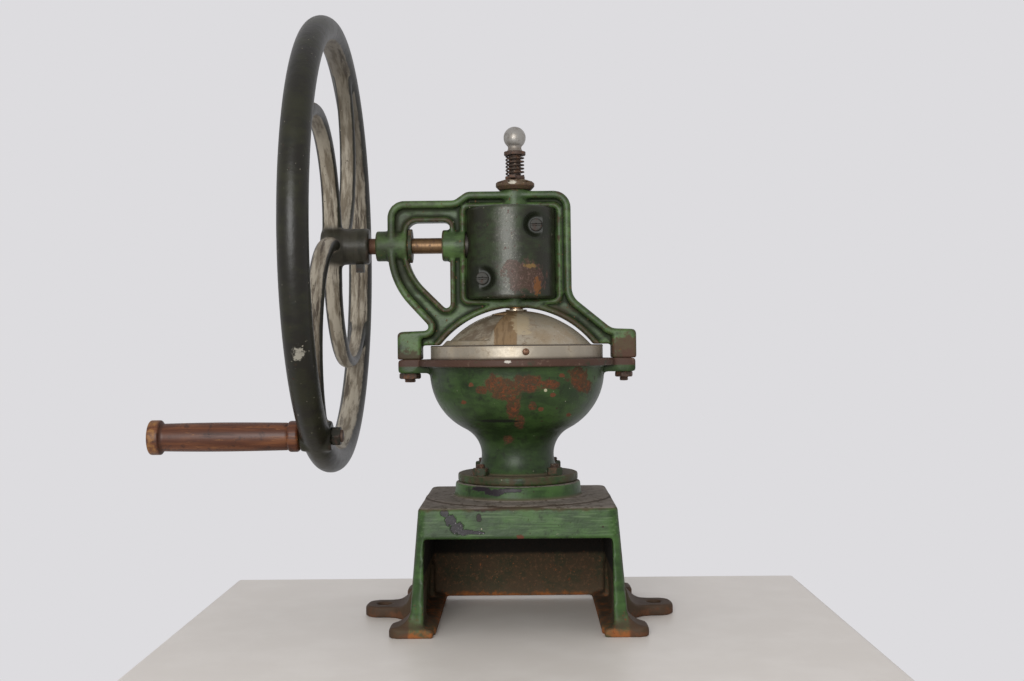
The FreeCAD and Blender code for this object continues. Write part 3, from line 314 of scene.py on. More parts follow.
green_base.coat(inside * green_base.noise(2.2, 5.0, 0.7).step(0.62, 0.70), (142, 84, 48), 0.9, height=0.08)
# Painted shadow: the front rail's shadow, a near-black band on the upper inside of the drawer space, above about 41
# mm.
painted_rail_shadow = height.ragged(3.0, 9, 4.0, 0.6).step(41, 45)
green_base.coat(inside * painted_rail_shadow * 0.92, (14, 12, 10), 0.9)
chip = green_base.patches([
    ((-60, -84, 100), (3.6, 8, 3.2)), ((-55, -85, 94.5), (5, 8, 5)), ((-50, -86, 88), (6, 8, 5)),
    ((-44, -86, 84.5), (8, 8, 2.6)), ((-34, -86, 84), (7, 8, 1.5))], 0.5, 3.0)
green_base.coat(chip, (24, 20, 22), 0.4, height=-0.15)
green_base.coat(chip * green_base.noise(1.8, 3.0, 0.6).step(0.62, 0.68), (112, 108, 110), 0.4)
green_base.coat(green_base.patch((-26, -82, 104), (13, 8, 2.4), 0.8, 4.0), (38, 28, 26), 0.5, height=-0.1)
green_base.coat(green_base.patch((-32, -84, 96), (2.2, 8, 3.6), 0.5, 3.0), (30, 24, 20), 0.5, height=-0.1)
green_base.coat(green_base.patch((2, -86, 80), (3, 8, 2), 0.8, 3.0), (82, 48, 34), 0.8)
seat_chip = green_base.patches([
    ((-32, -48, 115.6), (9, 14, 2.2)), ((-20, -52, 113.2), (9, 14, 2.6)), ((-7, -54, 115), (11, 14, 1.8))], 0.6, 4.0)
green_base.coat(seat_chip, (26, 20, 24), 0.42, height=-0.12)
top_edge = height.ragged(7.0, 6, 5.0, 0.7).step(100.5, 103.5)
green_base.coat(top_edge * height.step(107, 105) * 0.75, (66, 52, 38), 0.8)
green_base.coat(height.step(109.5, 106) * height.step(104.5, 105.5) * 0.7, (84, 74, 60), 0.9)
dust = up.step(0.62, 0.93) * (height + green_base.noise(9) * 4.0).step(99, 103)
green_base.coat(dust * (0.6 + green_base.noise(16, 6.0, 0.7).step(0.35, 0.6) * 0.4), (108, 100, 92), 0.92)
green_base.coat(dust * green_base.noise(6, 5.0, 0.7).step(0.52, 0.62), (66, 58, 48), 0.85)
deck_reach = green_base.length(X=sideways, Y=front)
green_base.coat(abs(deck_reach - 82.2).step(1.5, 0.5) * height.step(102, 104) * 0.8, (46, 36, 28), 0.8)
low = height.ragged(40.0, 12, 6.0, 0.7).step(22, 2)
green_base.coat(low * 0.7, (66, 54, 38), 0.7)
green_base.coat(up.step(0.3, 0.8) * height.step(60, 40) * 0.6, (64, 52, 40), 0.8)
ears = abs(sideways).ragged(50.0, 9, 7.0, 0.75).step(97, 106) * height.step(60, 40)
green_base.coat(ears * 0.7, (54, 50, 40), 0.7)
rust = height.ragged(18.0, 7, 5.0, 0.72).step(8.0, 3.0)
green_base.coat(rust * green_base.noise(16, 4.0, 0.6).step(0.36, 0.54), (124, 74, 38), 0.92, height=0.1)
rust_spots = green_base.noise(5, 5.0, 0.7).step(0.60, 0.68) * height.step(44, 20)
green_base.coat(rust_spots, (92, 52, 30), 0.9, height=0.08)
corner = (abs(sideways) + (green_base.noise(9, 5.0, 0.7) - 0.5) * 5.0 + height * 0.083).step(89.5, 91.5)
green_base.coat(corner * height.step(98, 92) * 0.8, (62, 44, 32), 0.7)
fit(base_cast, green_base.seal(0.2), "stand", "base")


# ---- Burrs and lower bearing --------------------------------------------------------------------
# Chilled-iron grinding cone and ring under the hopper, with the three-armed bridge and bronze bush
# that steady the spindle's foot. Turned and milled, left bare, black with old coffee oil.

def flecked(name, colour, rough, metal, grain, grain_height, flecks, specular=0.5):
    """Bare metal with flecks over it: each has its noise, the band of it that shows, and the coat's values.
    The grain is one more noise, raised by its height."""
    finish = Finish(name, colour, rough, metal)
    for cloud, band, *coat in flecks:
        finish.coat(finish.noise(*cloud).step(*band), *coat)
    finish.grain(finish.noise(*grain), grain_height)
    return finish.seal(specular)


def dress(material, *names):
    """Gives solids that keep their own shape a new material."""
    for name in names:
        for slot in nodes[name].material_slots:
            slot.material = material


burr_iron = flecked("oiled_burr_iron", (66, 60, 54), 0.42, 0.85, (0.9, 3.0, 0.6), 0.05, [
    ((7, 6.0, 0.65), (0.5, 0.66), (44, 34, 26), 0.6, 0.4),
    ((2.6, 4.0, 0.7), (0.58, 0.66), (112, 104, 94), 0.34, 0.9)])
dress(burr_iron, "outer_burr", "inner_burr", "lower_spider")

gear_iron = flecked("greased_gear_iron", (46, 42, 36), 0.45, 0.6, (0.9, 3.0, 0.6), 0.05, [
    ((6, 6.0, 0.65), (0.46, 0.62), (30, 26, 20), 0.55, 0.3),
    ((1.8, 4.0, 0.7), (0.62, 0.70), (88, 80, 68), 0.36, 0.8)])
dress(gear_iron, "pinion", "crown_gear")

bush_bronze = flecked("old_bronze", (134, 98, 58), 0.4, 0.9, (0.7, 3.0, 0.6, (1.0, 1.0, 6.0)), 0.03, [
    ((5, 6.0, 0.65), (0.46, 0.64), (88, 60, 36), 0.55, 0.7),
    ((2, 4.0, 0.7), (0.62, 0.68), (62, 74, 52), 0.7, 0.2)])
dress(bush_bronze, "foot_bush", "spindle_bush", "outer_crank_bush", "inner_crank_bush")


# ---- Hopper -------------------------------------------------------------------------------------
# Goblet-shaped iron casting: foot flange, narrow neck, round bowl and a flat rim with two ears for
# the bridge frame. Green enamel, rusted through on the bowl's front, with a bare brown rim.

def grid_faces(rows, columns, ring=True, loop=False):
    """Four-sided faces of a grid of points; a ring joins the last column to the first, a loop the rows."""
    index = np.arange(rows * columns).reshape(rows, columns)
    if loop:
        index = np.vstack([index, index[:1]])
    if ring:
        index = np.hstack([index, index[:, :1]])
    corners = [index[:-1, :-1], index[:-1, 1:], index[1:, 1:], index[1:, :-1]]
    return np.stack(corners, axis=-1).reshape(-1, 4)


def enclosed(points, faces):
    """Six times the volume inside a skin: the sum over its triangles of corner . (corner x corner)."""
    a, b, c, d = (points[faces[:, k]] for k in range(4))
    return np.einsum("ij,ij->", a, np.cross(b, c)) + np.einsum("ij,ij->", a, np.cross(c, d))


def make_piece(name, shells, crease=38.0, outward=True):
    """One object from shells of points in millimetres and four-sided faces, its doubled points welded,
    its faces turned outwards, and its edges sharp only past the crease angle."""
    points = np.concatenate([np.asarray(shell[0]).reshape(-1, 3) for shell in shells])
    faces, start = [], 0
    for shell_points, shell_faces in shells:
        flat = np.asarray(shell_points).reshape(-1, 3)
        flip = outward and enclosed(flat, shell_faces) < 0
        faces.append((shell_faces[:, ::-1] if flip else shell_faces) + start)
        start += len(flat)
    faces = np.concatenate(faces)
    mesh = bpy.data.meshes.new(name)
    mesh.vertices.add(len(points))
    mesh.vertices.foreach_set("co", (points / 1000).ravel())
    mesh.loops.add(faces.size)
    mesh.loops.foreach_set("vertex_index", faces.ravel().astype(np.int32))
    mesh.polygons.add(len(faces))
    mesh.polygons.foreach_set("loop_start", np.arange(0, faces.size, 4, dtype=np.int32))
    mesh.update(calc_edges=True)
    skin = bmesh.new()
    skin.from_mesh(mesh)
    bmesh.ops.remove_doubles(skin, verts=skin.verts, dist=2e-6)
    skin.to_mesh(mesh)
    skin.free()
    mesh.polygons.foreach_set("use_smooth", np.ones(len(mesh.polygons), dtype=bool))
    mesh.set_sharp_from_angle(angle=np.radians(crease))
    piece = bpy.data.objects.new(name, mesh)
    bpy.context.scene.collection.objects.link(piece)
    return piece


def turned(radius, turn, level, centre=(0.0, 0.0)):
    """Points at a radius, a turn about an upright axis and a height: (r cos t, r sin t, z)."""
    x = centre[0] + radius * np.cos(turn)
    y = centre[1] + radius * np.sin(turn)
    return np.stack(np.broadcast_arrays(x, y, level), axis=-1)


def arc_points(centre, radius, start, end, count):
    """Points on an arc in the radius and height plane, angles in degrees from the radial direction."""
    turn = np.radians(np.linspace(start, end, count))
    return np.stack([centre[0] + radius * np.cos(turn), centre[1] + radius * np.sin(turn)], axis=-1)


def straight(start, end, count):
    """Points evenly from one corner to the next, leaving the last one to what follows."""
    return np.linspace(start, end, count, endpoint=False)


def dense_near(angles, reach, count, dense):
    """Angles round a turn, with extra ones within reach of each of the given angles."""
    even = np.linspace(0, 2 * np.pi, count, endpoint=False)
    extra = np.concatenate([a + np.linspace(-reach, reach, dense) for a in angles]) % (2 * np.pi)
    together = np.sort(np.concatenate([even, extra]))
    return together[np.append(np.diff(together) > 1e-4, True)]


BOWL_CENTRE, BOWL_R = (21.2, 214.5), 56.0
NECK_CENTRE, NECK_ARC = (57.69, 141.3), 25.79
HOPPER_WALL, RIM_TOP, RIM_R = 5.0, 226.0, 87.0
EAR_REACH, EAR_HALF, EAR_UNDER = 104.5, 15.0, 214.0

ear_side = np.arcsin(EAR_HALF / 96)
round_hopper = dense_near([ear_side, np.pi - ear_side, np.pi + ear_side, -ear_side], 0.035, 170, 15)
ear_long = EAR_REACH / np.abs(np.cos(round_hopper) + 1e-9)
ear_wide = EAR_HALF / np.abs(np.sin(round_hopper) + 1e-9)
ear_plan = (ear_long ** -16 + ear_wide ** -16) ** (-1 / 16)
rim_plan = (RIM_R ** 60 + np.minimum(ear_plan, 130) ** 60) ** (1 / 60)
ear_share = np.clip((rim_plan - 88.5) / 5, 0, 1)
under = RIM_TOP - 6.2 - ear_share * (RIM_TOP - 6.2 - EAR_UNDER)
wall_r = BOWL_CENTRE[0] + BOWL_R
mouth_r = wall_r - HOPPER_WALL
inward = np.concatenate([
    arc_points(NECK_CENTRE, NECK_ARC, 116.5, 217.8, 26),
    straight((37.6, 125.5), (53, 125.5), 12), straight((53, 125.5), (53, 118), 6),
    straight((53, 118), (26.9, 118), 12), straight((26.9, 118), (26.9, 141.3), 12),
    arc_points(NECK_CENTRE, NECK_ARC + HOPPER_WALL, 180, 116.5, 20)[:-1],
    arc_points(BOWL_CENTRE, BOWL_R - HOPPER_WALL, -63.5, 0, 34),
    straight((mouth_r, 216), (mouth_r, RIM_TOP), 7)])
outer_bowl = arc_points(BOWL_CENTRE, BOWL_R, -1.2, -63.5, 40)[:-1]
columns = len(round_hopper)
share = np.linspace(0, 1, 12, endpoint=False)[:, None]
rim_r = np.concatenate([mouth_r + (rim_plan - mouth_r) * share, np.repeat(rim_plan[None], 7, 0),
                        rim_plan + (wall_r - rim_plan) * share])
drop = np.linspace(0, 1, 7, endpoint=False)[:, None]
rim_z = np.concatenate([np.full((12, columns), RIM_TOP), RIM_TOP + (under - RIM_TOP) * drop,
                        np.repeat(under[None], 12, 0)])
rest = np.concatenate([outer_bowl, inward])
hopper_r = np.concatenate([rim_r, np.repeat(rest[:, :1], columns, 1)])
hopper_z = np.concatenate([rim_z, np.repeat(rest[:, 1:], columns, 1)])
for _ in range(2):
    hopper_r = hopper_r * 0.5 + (np.roll(hopper_r, 1, 0) + np.roll(hopper_r, -1, 0)) * 0.25
    hopper_z = hopper_z * 0.5 + (np.roll(hopper_z, 1, 0) + np.roll(hopper_z, -1, 0)) * 0.25
lump = 0.25 * np.sin(3 * round_hopper + hopper_z / 23) * np.sin(hopper_z / 17 + 1)
hopper_r = np.where((hopper_z > 145) & (hopper_z < 212), hopper_r + lump, hopper_r)
hopper_z = np.maximum(hopper_z, 118.02)
hopper_points = turned(hopper_r, round_hopper, hopper_z)
hopper_cast = make_piece("hopper_cast", [(hopper_points, grid_faces(*hopper_r.shape, loop=True))], crease=50)
mark_wear(hopper_cast, gain=1.0, reach=2)

green_hopper = old_enamel("green_enamel_hopper", (30, 44, 20), (46, 66, 30), shine=0.38)
height = green_hopper.along("Z")
up = green_hopper.facing("Z")
rust_grain = green_hopper.noise(3.0, 8.0, 0.8)
blotch = green_hopper.patches([
    ((-18, -70, 206), (9, 24, 8)), ((-8, -68, 201), (13, 24, 9)), ((9, -70, 206), (13, 24, 8)),
    ((-3, -62, 188), (6, 24, 13)), ((2, -60, 173), (4.5, 24, 7)), ((13, -62, 187), (4, 22, 4)),
    ((-29, -66, 201), (5, 24, 4)), ((27, -66, 205), (9, 24, 4)), ((50, -50, 211), (10, 24, 9)),
    ((58, -48, 202), (7, 24, 6)), ((-8, -50, 156), (6, 24, 5))], 0.55, 6.0)
blotch = blotch * green_hopper.noise(5, 8.0, 0.8).step(0.37, 0.46)
green_hopper.coat(blotch * 0.85, (60, 38, 24), 0.8, height=-0.06)
green_hopper.coat(blotch * rust_grain.step(0.44, 0.66) * 0.85, (108, 54, 27), 0.9, height=0.08)
green_hopper.coat(blotch * green_hopper.noise(4, 7.0, 0.75).step(0.55, 0.63) * 0.8, (40, 44, 24), 0.5)
SPOT = (2.4, 24, 1.8)
for centre in ((-45, -50, 190), (-38, -60, 205), (30, -66, 196), (20, -60, 184), (44, -54, 178), (38, -60, 212)):
    green_hopper.coat(green_hopper.patch(centre, SPOT, 0.5, 3.0), (84, 50, 30), 0.8, height=-0.05)
green_hopper.coat(green_hopper.patch((24, -66, 200), (1.4, 24, 1.4), 0.2, 3.0), (150, 146, 120), 0.5)
green_hopper.coat(green_hopper.patch((-14, -48, 174), (20, 20, 1.6), 0.35, 8.0), (20, 24, 16), 0.5)
neck = height.ragged(10.0, 8).step(178, 160) * height.step(126, 132)
green_hopper.coat(neck * 0.25, (20, 28, 16), 0.5)
rim_band = height.step(219.0, 220.4) * green_hopper.noise(12, 5.0, 0.7).step(0.2, 0.42)
green_hopper.coat(rim_band, (62, 42, 32), 0.6, height=-0.05)
green_hopper.coat(rim_band * green_hopper.noise(6, 5.0, 0.7).step(0.56, 0.66), (84, 66, 54), 0.5)
green_hopper.coat(rim_band * green_hopper.noise(9, 5.0, 0.7).step(0.60, 0.68) * 0.7, (36, 42, 24), 0.5)
green_hopper.coat(green_hopper.patch((-6.7, -87, 224.2), (3.2, 9, 1.1), 0.7, 2.0), (166, 160, 150), 0.5)
green_hopper.coat(height.step(131, 125) * up.step(0.5, 0.9) * 0.8, (92, 82, 66), 0.9)
ledge = height.step(127.5, 124.5) * height.step(117, 118.5)
green_hopper.coat(ledge * green_hopper.noise(10, 5.0, 0.7).step(0.36, 0.6) * 0.8, (60, 46, 32), 0.7)
fit(hopper_cast, green_hopper.seal(0.24), "stand", "hopper")


# ---- Studs and nuts -----------------------------------------------------------------------------
# Four studs with square-cut hexagon nuts hold the hopper's foot to the base, and two larger ones under
# the ears hold the bridge frame. Rolled steel, partly painted over and rusted together.

def spun(profile, turns, centre=(0.0, 0.0)):
    """A profile of (radius, height) carried round an upright axis: (r cos t, r sin t, z)."""
    radius, level = np.asarray(profile, dtype=float).T
    return turned(radius[:, None], turns, level[:, None], centre)


def even_turn(count):
    return np.linspace(0, 2 * np.pi, count, endpoint=False)


def hexagon_nut(corners, low, high, bore, centre, turn):
    """Hexagon prism whose corners are cut by a cone at each end: radius = the smaller of the hexagon's
    polar radius and the cone's radius at that height."""
    turns = even_turn(72)
    across = corners / 2 * np.cos(np.pi / 6)
    hexagon = across / np.cos((turns - np.radians(turn)) % (np.pi / 3) - np.pi / 6)
    middle = (low + high) / 2
    level = np.array([low, low, low, low + 0.5, low + 1.1, middle, high - 1.1, high - 0.5, high, high, high])
    slope = [bore, corners * 0.36, across, across * 1.08]
    cone = np.array(slope + [np.inf] * 3 + slope[::-1])
    radius = np.minimum(cone[:, None], hexagon)
    return turned(radius, turns, level[:, None], centre), grid_faces(len(level), len(turns), loop=True)


def threaded_bar(radius, low, high, pitch, centre=(0.0, 0.0), deep=0.5):
    """Bar with a rounded thread: the radius falls by a wave of height / pitch less the turn, and both
    ends close in a small chamfer."""
    turns = even_turn(40)
    level = np.linspace(low, high, max(int((high - low) / pitch * 7), 8))
    wave = 0.5 - 0.5 * np.cos(2 * np.pi * (level[:, None] / pitch - turns / (2 * np.pi)))
    bar = radius - deep * pitch * wave ** 1.4
    fade = np.minimum(level - low, high - level)[:, None]
    bar = np.minimum(bar, radius - 1.0 + fade)
    bar[0] = 0
    bar[-1] = 0
    return turned(bar, turns, level[:, None], centre), grid_faces(*bar.shape)


rusty_steel = flecked("rusty_steel", (66, 50, 40), 0.62, 0.35, (0.9, 4.0, 0.65), 0.08, [
    ((6, 6.0, 0.7), (0.48, 0.62), (94, 60, 38), 0.85, 0.1, 0.06),
    ((2.0, 4.0, 0.7), (0.56, 0.64), (40, 32, 26), 0.7, None, -0.04),
    ((3.1, 4.0, 0.7, None, 0.6), (0.64, 0.70), (132, 122, 108), 0.42, 0.7)])

green_nut = Finish("green_enamel_nuts", (34, 42, 24), 0.5)
green_nut.coat(green_nut.noise(5, 5.0, 0.7).step(0.48, 0.6), (66, 50, 36), 0.75, height=0.05)
green_nut.coat(green_nut.facing("Z").step(0.5, 0.9) * 0.7, (92, 84, 68), 0.85)
green_nut.grain(green_nut.noise(1.2, 4.0, 0.6), 0.08)
green_nut_paint = green_nut.seal(0.25)

FLANGE_STUD, FLANGE_TOP = 32.0, 125.5
stud_places = [(x, y) for x in (-FLANGE_STUD, FLANGE_STUD) for y in (-FLANGE_STUD, FLANGE_STUD)]
flange_studs = make_piece("flange_studs", [
    threaded_bar(4, 96.2, FLANGE_TOP + 9.9, 1.25, place) for place in stud_places])
fit(flange_studs, rusty_steel, "stand", "hopper_flange_studs")

flange_nuts = make_piece("flange_nuts", [
    hexagon_nut(14.4, FLANGE_TOP, FLANGE_TOP + 6.5, 3.9, p, 8 + 13 * k) for k, p in enumerate(stud_places)])
fit(flange_nuts, green_nut_paint, "stand", "hopper_flange_nuts")

for side, sign, stud_r, corners, thick in (("left", -1, 5.0, 19.6, 5.2), ("right", 1, 3.9, 16.4, 4.9)):
    place = (sign * 95.0, 0.0)
    stud = make_piece(side + "_rim_stud_bar", [threaded_bar(stud_r, 205.6, 243.4, 1.25, place)])
    fit(stud, rusty_steel, "stand", side + "_rim_stud")
    nut = make_piece(side + "_rim_nut_hex", [hexagon_nut(corners, 214 - thick, 214, stud_r - 0.1, place, 12)])
    fit(nut, rusty_steel, "stand", side + "_rim_nut")


# ---- Bridge frame -------------------------------------------------------------------------------
# Ribbed casting that stands on the hopper's ears and carries the crank's two bosses, the gear window
# and the adjusting screw. Green enamel, worn brown along its raised beads.

frame_cast = cast_skin(merged_copy("bridge_frame"), grain=1.15, rounds=6)
mark_wear(frame_cast, gain=1.9, reach=4)
green_frame = old_enamel("green_enamel_frame", (46, 62, 34), (70, 92, 50), thin=0.02)
height = green_frame.along("Z")
sideways = green_frame.along("X")
green_frame.coat(green_frame.noise(16, 6.0, 0.7).step(0.56, 0.7) * 0.5, (52, 44, 30), 0.6)
green_frame.coat(green_frame.patch((10, -5, 268), (46, 14, 5), 0.6, 9.0) * 0.5, (58, 48, 34), 0.6)
feet = height.ragged(60.0, 9, 7.0, 0.75).step(238, 228)
green_frame.coat(feet * 0.75, (60, 42, 32), 0.7)
right_foot = green_frame.patch((96, 0, 234), (14, 20, 17), 0.5, 8.0)
green_frame.coat(right_foot * 0.8, (72, 48, 38), 0.75)
bosses = sideways.step(-60, -74) * height.step(280, 300) * green_frame.noise(14, 6.0, 0.7).step(0.3, 0.6)
green_frame.coat(bosses * 0.6, (44, 46, 30), 0.55)
green_frame.coat(green_frame.noise(3.6, 3.0, 0.6).step(0.66, 0.70) * 0.8, (88, 66, 40), 0.7, height=-0.05)
fit(frame_cast, green_frame.seal(0.24), "stand", "bridge_frame")


# ---- Crank shaft and its gears ------------------------------------------------------------------
# Turned steel bar through two bronze bushes, with a pinned collar and a bevel pinion that drives the
# crown wheel on the spindle. The bar is rubbed bright brown where the bushes let it show.

CRANK_Z = 327.0


def lying(profile, turns, y=0.0, z=CRANK_Z):
    """A profile of (radius, place along X) carried round a level axis: (x, r cos t, r sin t)."""
    radius, x = np.asarray(profile, dtype=float).T
    across = y + radius[:, None] * np.cos(turns)
    level = z + radius[:, None] * np.sin(turns)
    return np.stack([np.repeat(x[:, None], len(turns), 1), across, level], axis=-1)


def eased(corners, soft=0.6, steps=4):
    """A profile's corners, each replaced by a short curve that starts and ends soft millimetres away."""
    corners = np.asarray(corners, dtype=float)
    before, here, after = corners[:-2], corners[1:-1], corners[2:]
    back = np.linalg.norm(before - here, axis=1, keepdims=True)
    ahead = np.linalg.norm(after - here, axis=1, keepdims=True)
    start = here + (before - here) * np.minimum(soft / back, 0.45)
    end = here + (after - here) * np.minimum(soft / ahead, 0.45)
    share = np.linspace(0, 1, steps)[None, :, None]
    curve = ((1 - share) ** 2 * start[:, None] + 2 * share * (1 - share) * here[:, None]
             + share ** 2 * end[:, None])
    return np.concatenate([corners[:1], curve.reshape(-1, 2), corners[-1:]])


def spun_piece(name, profile, turns=96, closed=False):
    """A turned piece on the upright axis; a closed profile is a ring with a bore."""
    return make_piece(name, [(spun(profile, even_turn(turns)), grid_faces(len(profile), turns, loop=closed))])


def lying_piece(name, profile, turns=96, closed=False, y=0.0, z=CRANK_Z, crease=38.0):
    """A turned piece on a level axis along X."""
    points = lying(profile, even_turn(turns), y, z)
    return make_piece(name, [(points, grid_faces(len(profile), turns, loop=closed))], crease)


rubbed_bar = Finish("rubbed_steel_bar", (104, 80, 54), 0.4, 0.7)
rings = rubbed_bar.noise(2.4, 4.0, 0.7, stretch=(1.0, 0.3, 0.3))
rubbed_bar.coat(rings.step(0.40, 0.70) * 0.6, (76, 54, 34), 0.5, 0.5)
rubbed_bar.coat(rubbed_bar.noise(7, 6.0, 0.7).step(0.54, 0.68), (66, 46, 32), 0.6, 0.4)
rubbed_bar.coat(rubbed_bar.along("X").step(-121, -128), (82, 52, 34), 0.7, 0.3)
rubbed_bar.grain(rubbed_bar.noise(0.8, 3.0, 0.6), 0.02)
bar_steel = rubbed_bar.seal()

shaft_bar = lying_piece("crank_bar", eased([(0, -171.4), (7, -171.4), (7, -20.3), (0, -20.3)], 1.0), turns=64)
fit(shaft_bar, bar_steel, "crank", "crank_shaft")

collar_profile = eased([(7.05, -95.1), (15, -95.1), (15, -91.9), (7.05, -91.9)], 0.5)
collar = lying_piece("crank_collar", collar_profile, turns=72, closed=True)
fit(collar, green_nut_paint, "crank", "shaft_collar")

worn = Finish("worn_spindle_steel", (112, 98, 82), 0.4, 0.8)
worn.coat(worn.noise(8, 6.0, 0.7).step(0.46, 0.62), (78, 56, 38), 0.6, 0.4)
worn.coat(worn.noise(1.4, 3.0, 0.6, stretch=(1.0, 1.0, 5.0)).step(0.5, 0.66), (150, 144, 134), 0.3, 0.9)
worn.grain(worn.noise(0.8, 3.0, 0.6), 0.03)
spindle_steel = worn.seal()
dress(spindle_steel, "spindle", "pinion_pin", "feather_key", "burr_nut", "swivel_cap")


# ---- Gear covers --------------------------------------------------------------------------------
# Two half barrels, one each side of the frame's window, pressed and dished where their screws sit.
# Dark enamel with a silver band down the front, partly rubbed where hands have passed and partly a painted
# highlight, with rust low on the right.

COVER_X, COVER_R, COVER_LOW, COVER_HIGH = -4.0, 39.7, 278.7, 359.3
COVER_WALL, COVER_ROUND, COVER_TURNS = 2.4, 3.0, 150
FRAME_FACE, PINION_HOLE_R = 5.0, 12.4
SEATS = ((-29.0, 296.0), (18.0, 342.0))
SEAT_DEEP, SEAT_R, SEAT_SLOPE = 28.0, 6.9, 5.6


def thicken(piece, wall):
    """Gives a single skin its thickness in millimetres, inwards from the faces."""
    sheet = piece.modifiers.new("sheet", "SOLIDIFY")
    sheet.thickness = wall / 1000
    sheet.offset = -1.0


def half_barrel(face):
    """Half a drum: up a profile from the lower opening, round a corner, up the side and in again above,
    carried from edge to edge of the frame's face; at each screw the surface sinks, with an easy slope,
    to a flat seat. face is -1 for the front one and 1 for the rear one."""
    corner_r = COVER_R - COVER_ROUND
    corner_low, corner_high = COVER_LOW + COVER_ROUND, COVER_HIGH - COVER_ROUND
    side = np.linspace((COVER_R, corner_low), (COVER_R, corner_high), 96)
    lower = arc_points((corner_r, corner_low), COVER_ROUND, -90, 0, 7)[:-1]
    upper = arc_points((corner_r, corner_high), COVER_ROUND, 0, 90, 7)[1:]
    floor = straight((14.0, COVER_LOW), (corner_r, COVER_LOW), 8)
    roof = np.linspace((corner_r, COVER_HIGH), (17.5, COVER_HIGH), 9)[1:]
    profile = np.concatenate([floor, lower, side, upper, roof])
    radius, level = profile[:, :1], profile[:, 1:]
    edge = np.arcsin(FRAME_FACE / radius)
    turn = edge + np.linspace(0, 1, COVER_TURNS)[None] * (np.pi - 2 * edge)
    x = COVER_X + radius * np.cos(turn)
    depth = radius * np.sin(turn)
    level = np.repeat(level, COVER_TURNS, 1)
    for seat_x, seat_z in SEATS:
        away = np.hypot(x - seat_x, level - seat_z)
        rise = np.clip((away - SEAT_R) / SEAT_SLOPE, 0, 1)
        rise = rise * rise * (3 - 2 * rise)
        sunk = np.minimum(depth, SEAT_DEEP)
        depth = sunk + (depth - sunk) * rise
    points = np.stack([x, face * depth, level], axis=-1)
    faces = grid_faces(*x.shape, ring=False)
    middle = points.reshape(-1, 3)[faces].mean(axis=1)
    slot = (np.hypot(middle[:, 1], middle[:, 2] - CRANK_Z) < PINION_HOLE_R) & (middle[:, 0] < -36)
    return points, faces[~slot][:, ::face]


dark_cover = old_enamel("dark_enamel_covers", (28, 28, 18), (38, 48, 26), under=(54, 42, 34), shine=0.38,
                        thin=0.04)
sideways, front, height = (dark_cover.along(axis) for axis in "XYZ")
flake = dark_cover.noise(1.7, 4.0, 0.8)
# Silver band down the front: partly rubbed paint with bare flecks, partly a painted highlight on the barrel's curve.
rubbed_band_and_highlight = (abs(sideways + 7.0) * 0.075).ragged(1.9, 12, 5.0, 0.7).step(1.0, 0.1) * front.step(-20, -30)
dark_cover.coat(rubbed_band_and_highlight * 0.6, (74, 74, 66), 0.36, 0.15)
dark_cover.coat(rubbed_band_and_highlight * flake.step(0.54, 0.66) * 0.7, (112, 110, 102), 0.36, 0.25, height=-0.03)
dark_cover.coat(rubbed_band_and_highlight * dark_cover.noise(4, 4.0, 0.7).step(0.60, 0.68), (70, 44, 38), 0.6)
rust = dark_cover.patch((10, -38, 296), (17, 30, 14), 0.7, 7.0)
rust = rust.most(dark_cover.patch((-3, -38, 303), (8, 30, 7), 0.8, 6.0))
dark_cover.coat(rust * 0.6, (66, 42, 34), 0.6, height=-0.04)
dark_cover.coat(rust * flake.step(0.52, 0.62) * 0.5, (108, 84, 76), 0.5)
dark_cover.coat(dark_cover.patch((19, -36, 289), (3, 30, 8), 0.9, 3.0) * 0.8, (100, 62, 28), 0.8, height=0.06)
dark_cover.coat(dark_cover.patch((12, -36, 306), (5, 30, 2), 0.9, 3.0) * 0.7, (112, 88, 46), 0.7)
# Painted shade: the paint is darkened in and around each dished screw seat.
for seat_x, seat_z in SEATS:
    away = dark_cover.length(X=sideways - seat_x, Z=height - seat_z)
    dark_cover.coat(away.step(15, 10) * 0.75, (20, 24, 14), 0.5)
cover_paint = dark_cover.seal(0.3)

for side, face in (("front", -1), ("rear", 1)):
    cover = make_piece(side + "_gear_barrel", [half_barrel(face)], crease=60, outward=False)
    mark_wear(cover, gain=1.2, reach=2)
    thicken(cover, COVER_WALL)
    fit(cover, cover_paint, "stand", side + "_gear_cover")

dark_iron = flecked("blackened_screw_iron", (30, 29, 22), 0.5, 0.2, (1.0, 3.0, 0.6), 0.06, [
    ((4, 5.0, 0.7), (0.5, 0.64), (50, 36, 28), 0.65, 0.1)], specular=0.3)


def cheese_head(radius, low, high, slot_half, slot_deep, centre, face):
    """Slotted screw head on an axis along Y: a short drum with a rounded edge whose crown drops by
    slot_deep wherever the place across the slot is under slot_half."""
    turns = even_turn(96)
    reach = np.array([0, 0.35, 0.7, 1.4, 2.2, 3.1, 4.0, radius - 0.7, radius - 0.2, radius, radius,
                      radius - 0.4, 0])
    level = np.array([high] * 8 + [high - 0.2, high - 0.7, low, low, low])
    x = reach[:, None] * np.cos(turns)
    z = reach[:, None] * np.sin(turns)
    crown = (np.arange(len(reach)) < 9)[:, None]
    cut = crown & (np.abs(z) < slot_half)
    y = np.where(cut, level[:, None] - slot_deep, level[:, None])
    return np.stack([centre[0] + x, face * y, centre[1] + z], axis=-1), grid_faces(len(reach), 96)


for side, face in (("front", -1), ("rear", 1)):
    heads = [cheese_head(5.5, SEAT_DEEP - 0.2, SEAT_DEEP + 3.1, 0.75, 1.3, seat, face) for seat in SEATS]
    screws = make_piece(side + "_cover_screw_heads", heads, crease=30)
    fit(screws, dark_iron, "stand", side + "_cover_screws")


# ---- Flywheel -----------------------------------------------------------------------------------
# Cast wheel with a round rim, four half-circle spokes, a hub and a lug for the handle's bolt. Black-green
# enamel outside; its inner faces, out of the brush's reach, have gone to bare grey metal.

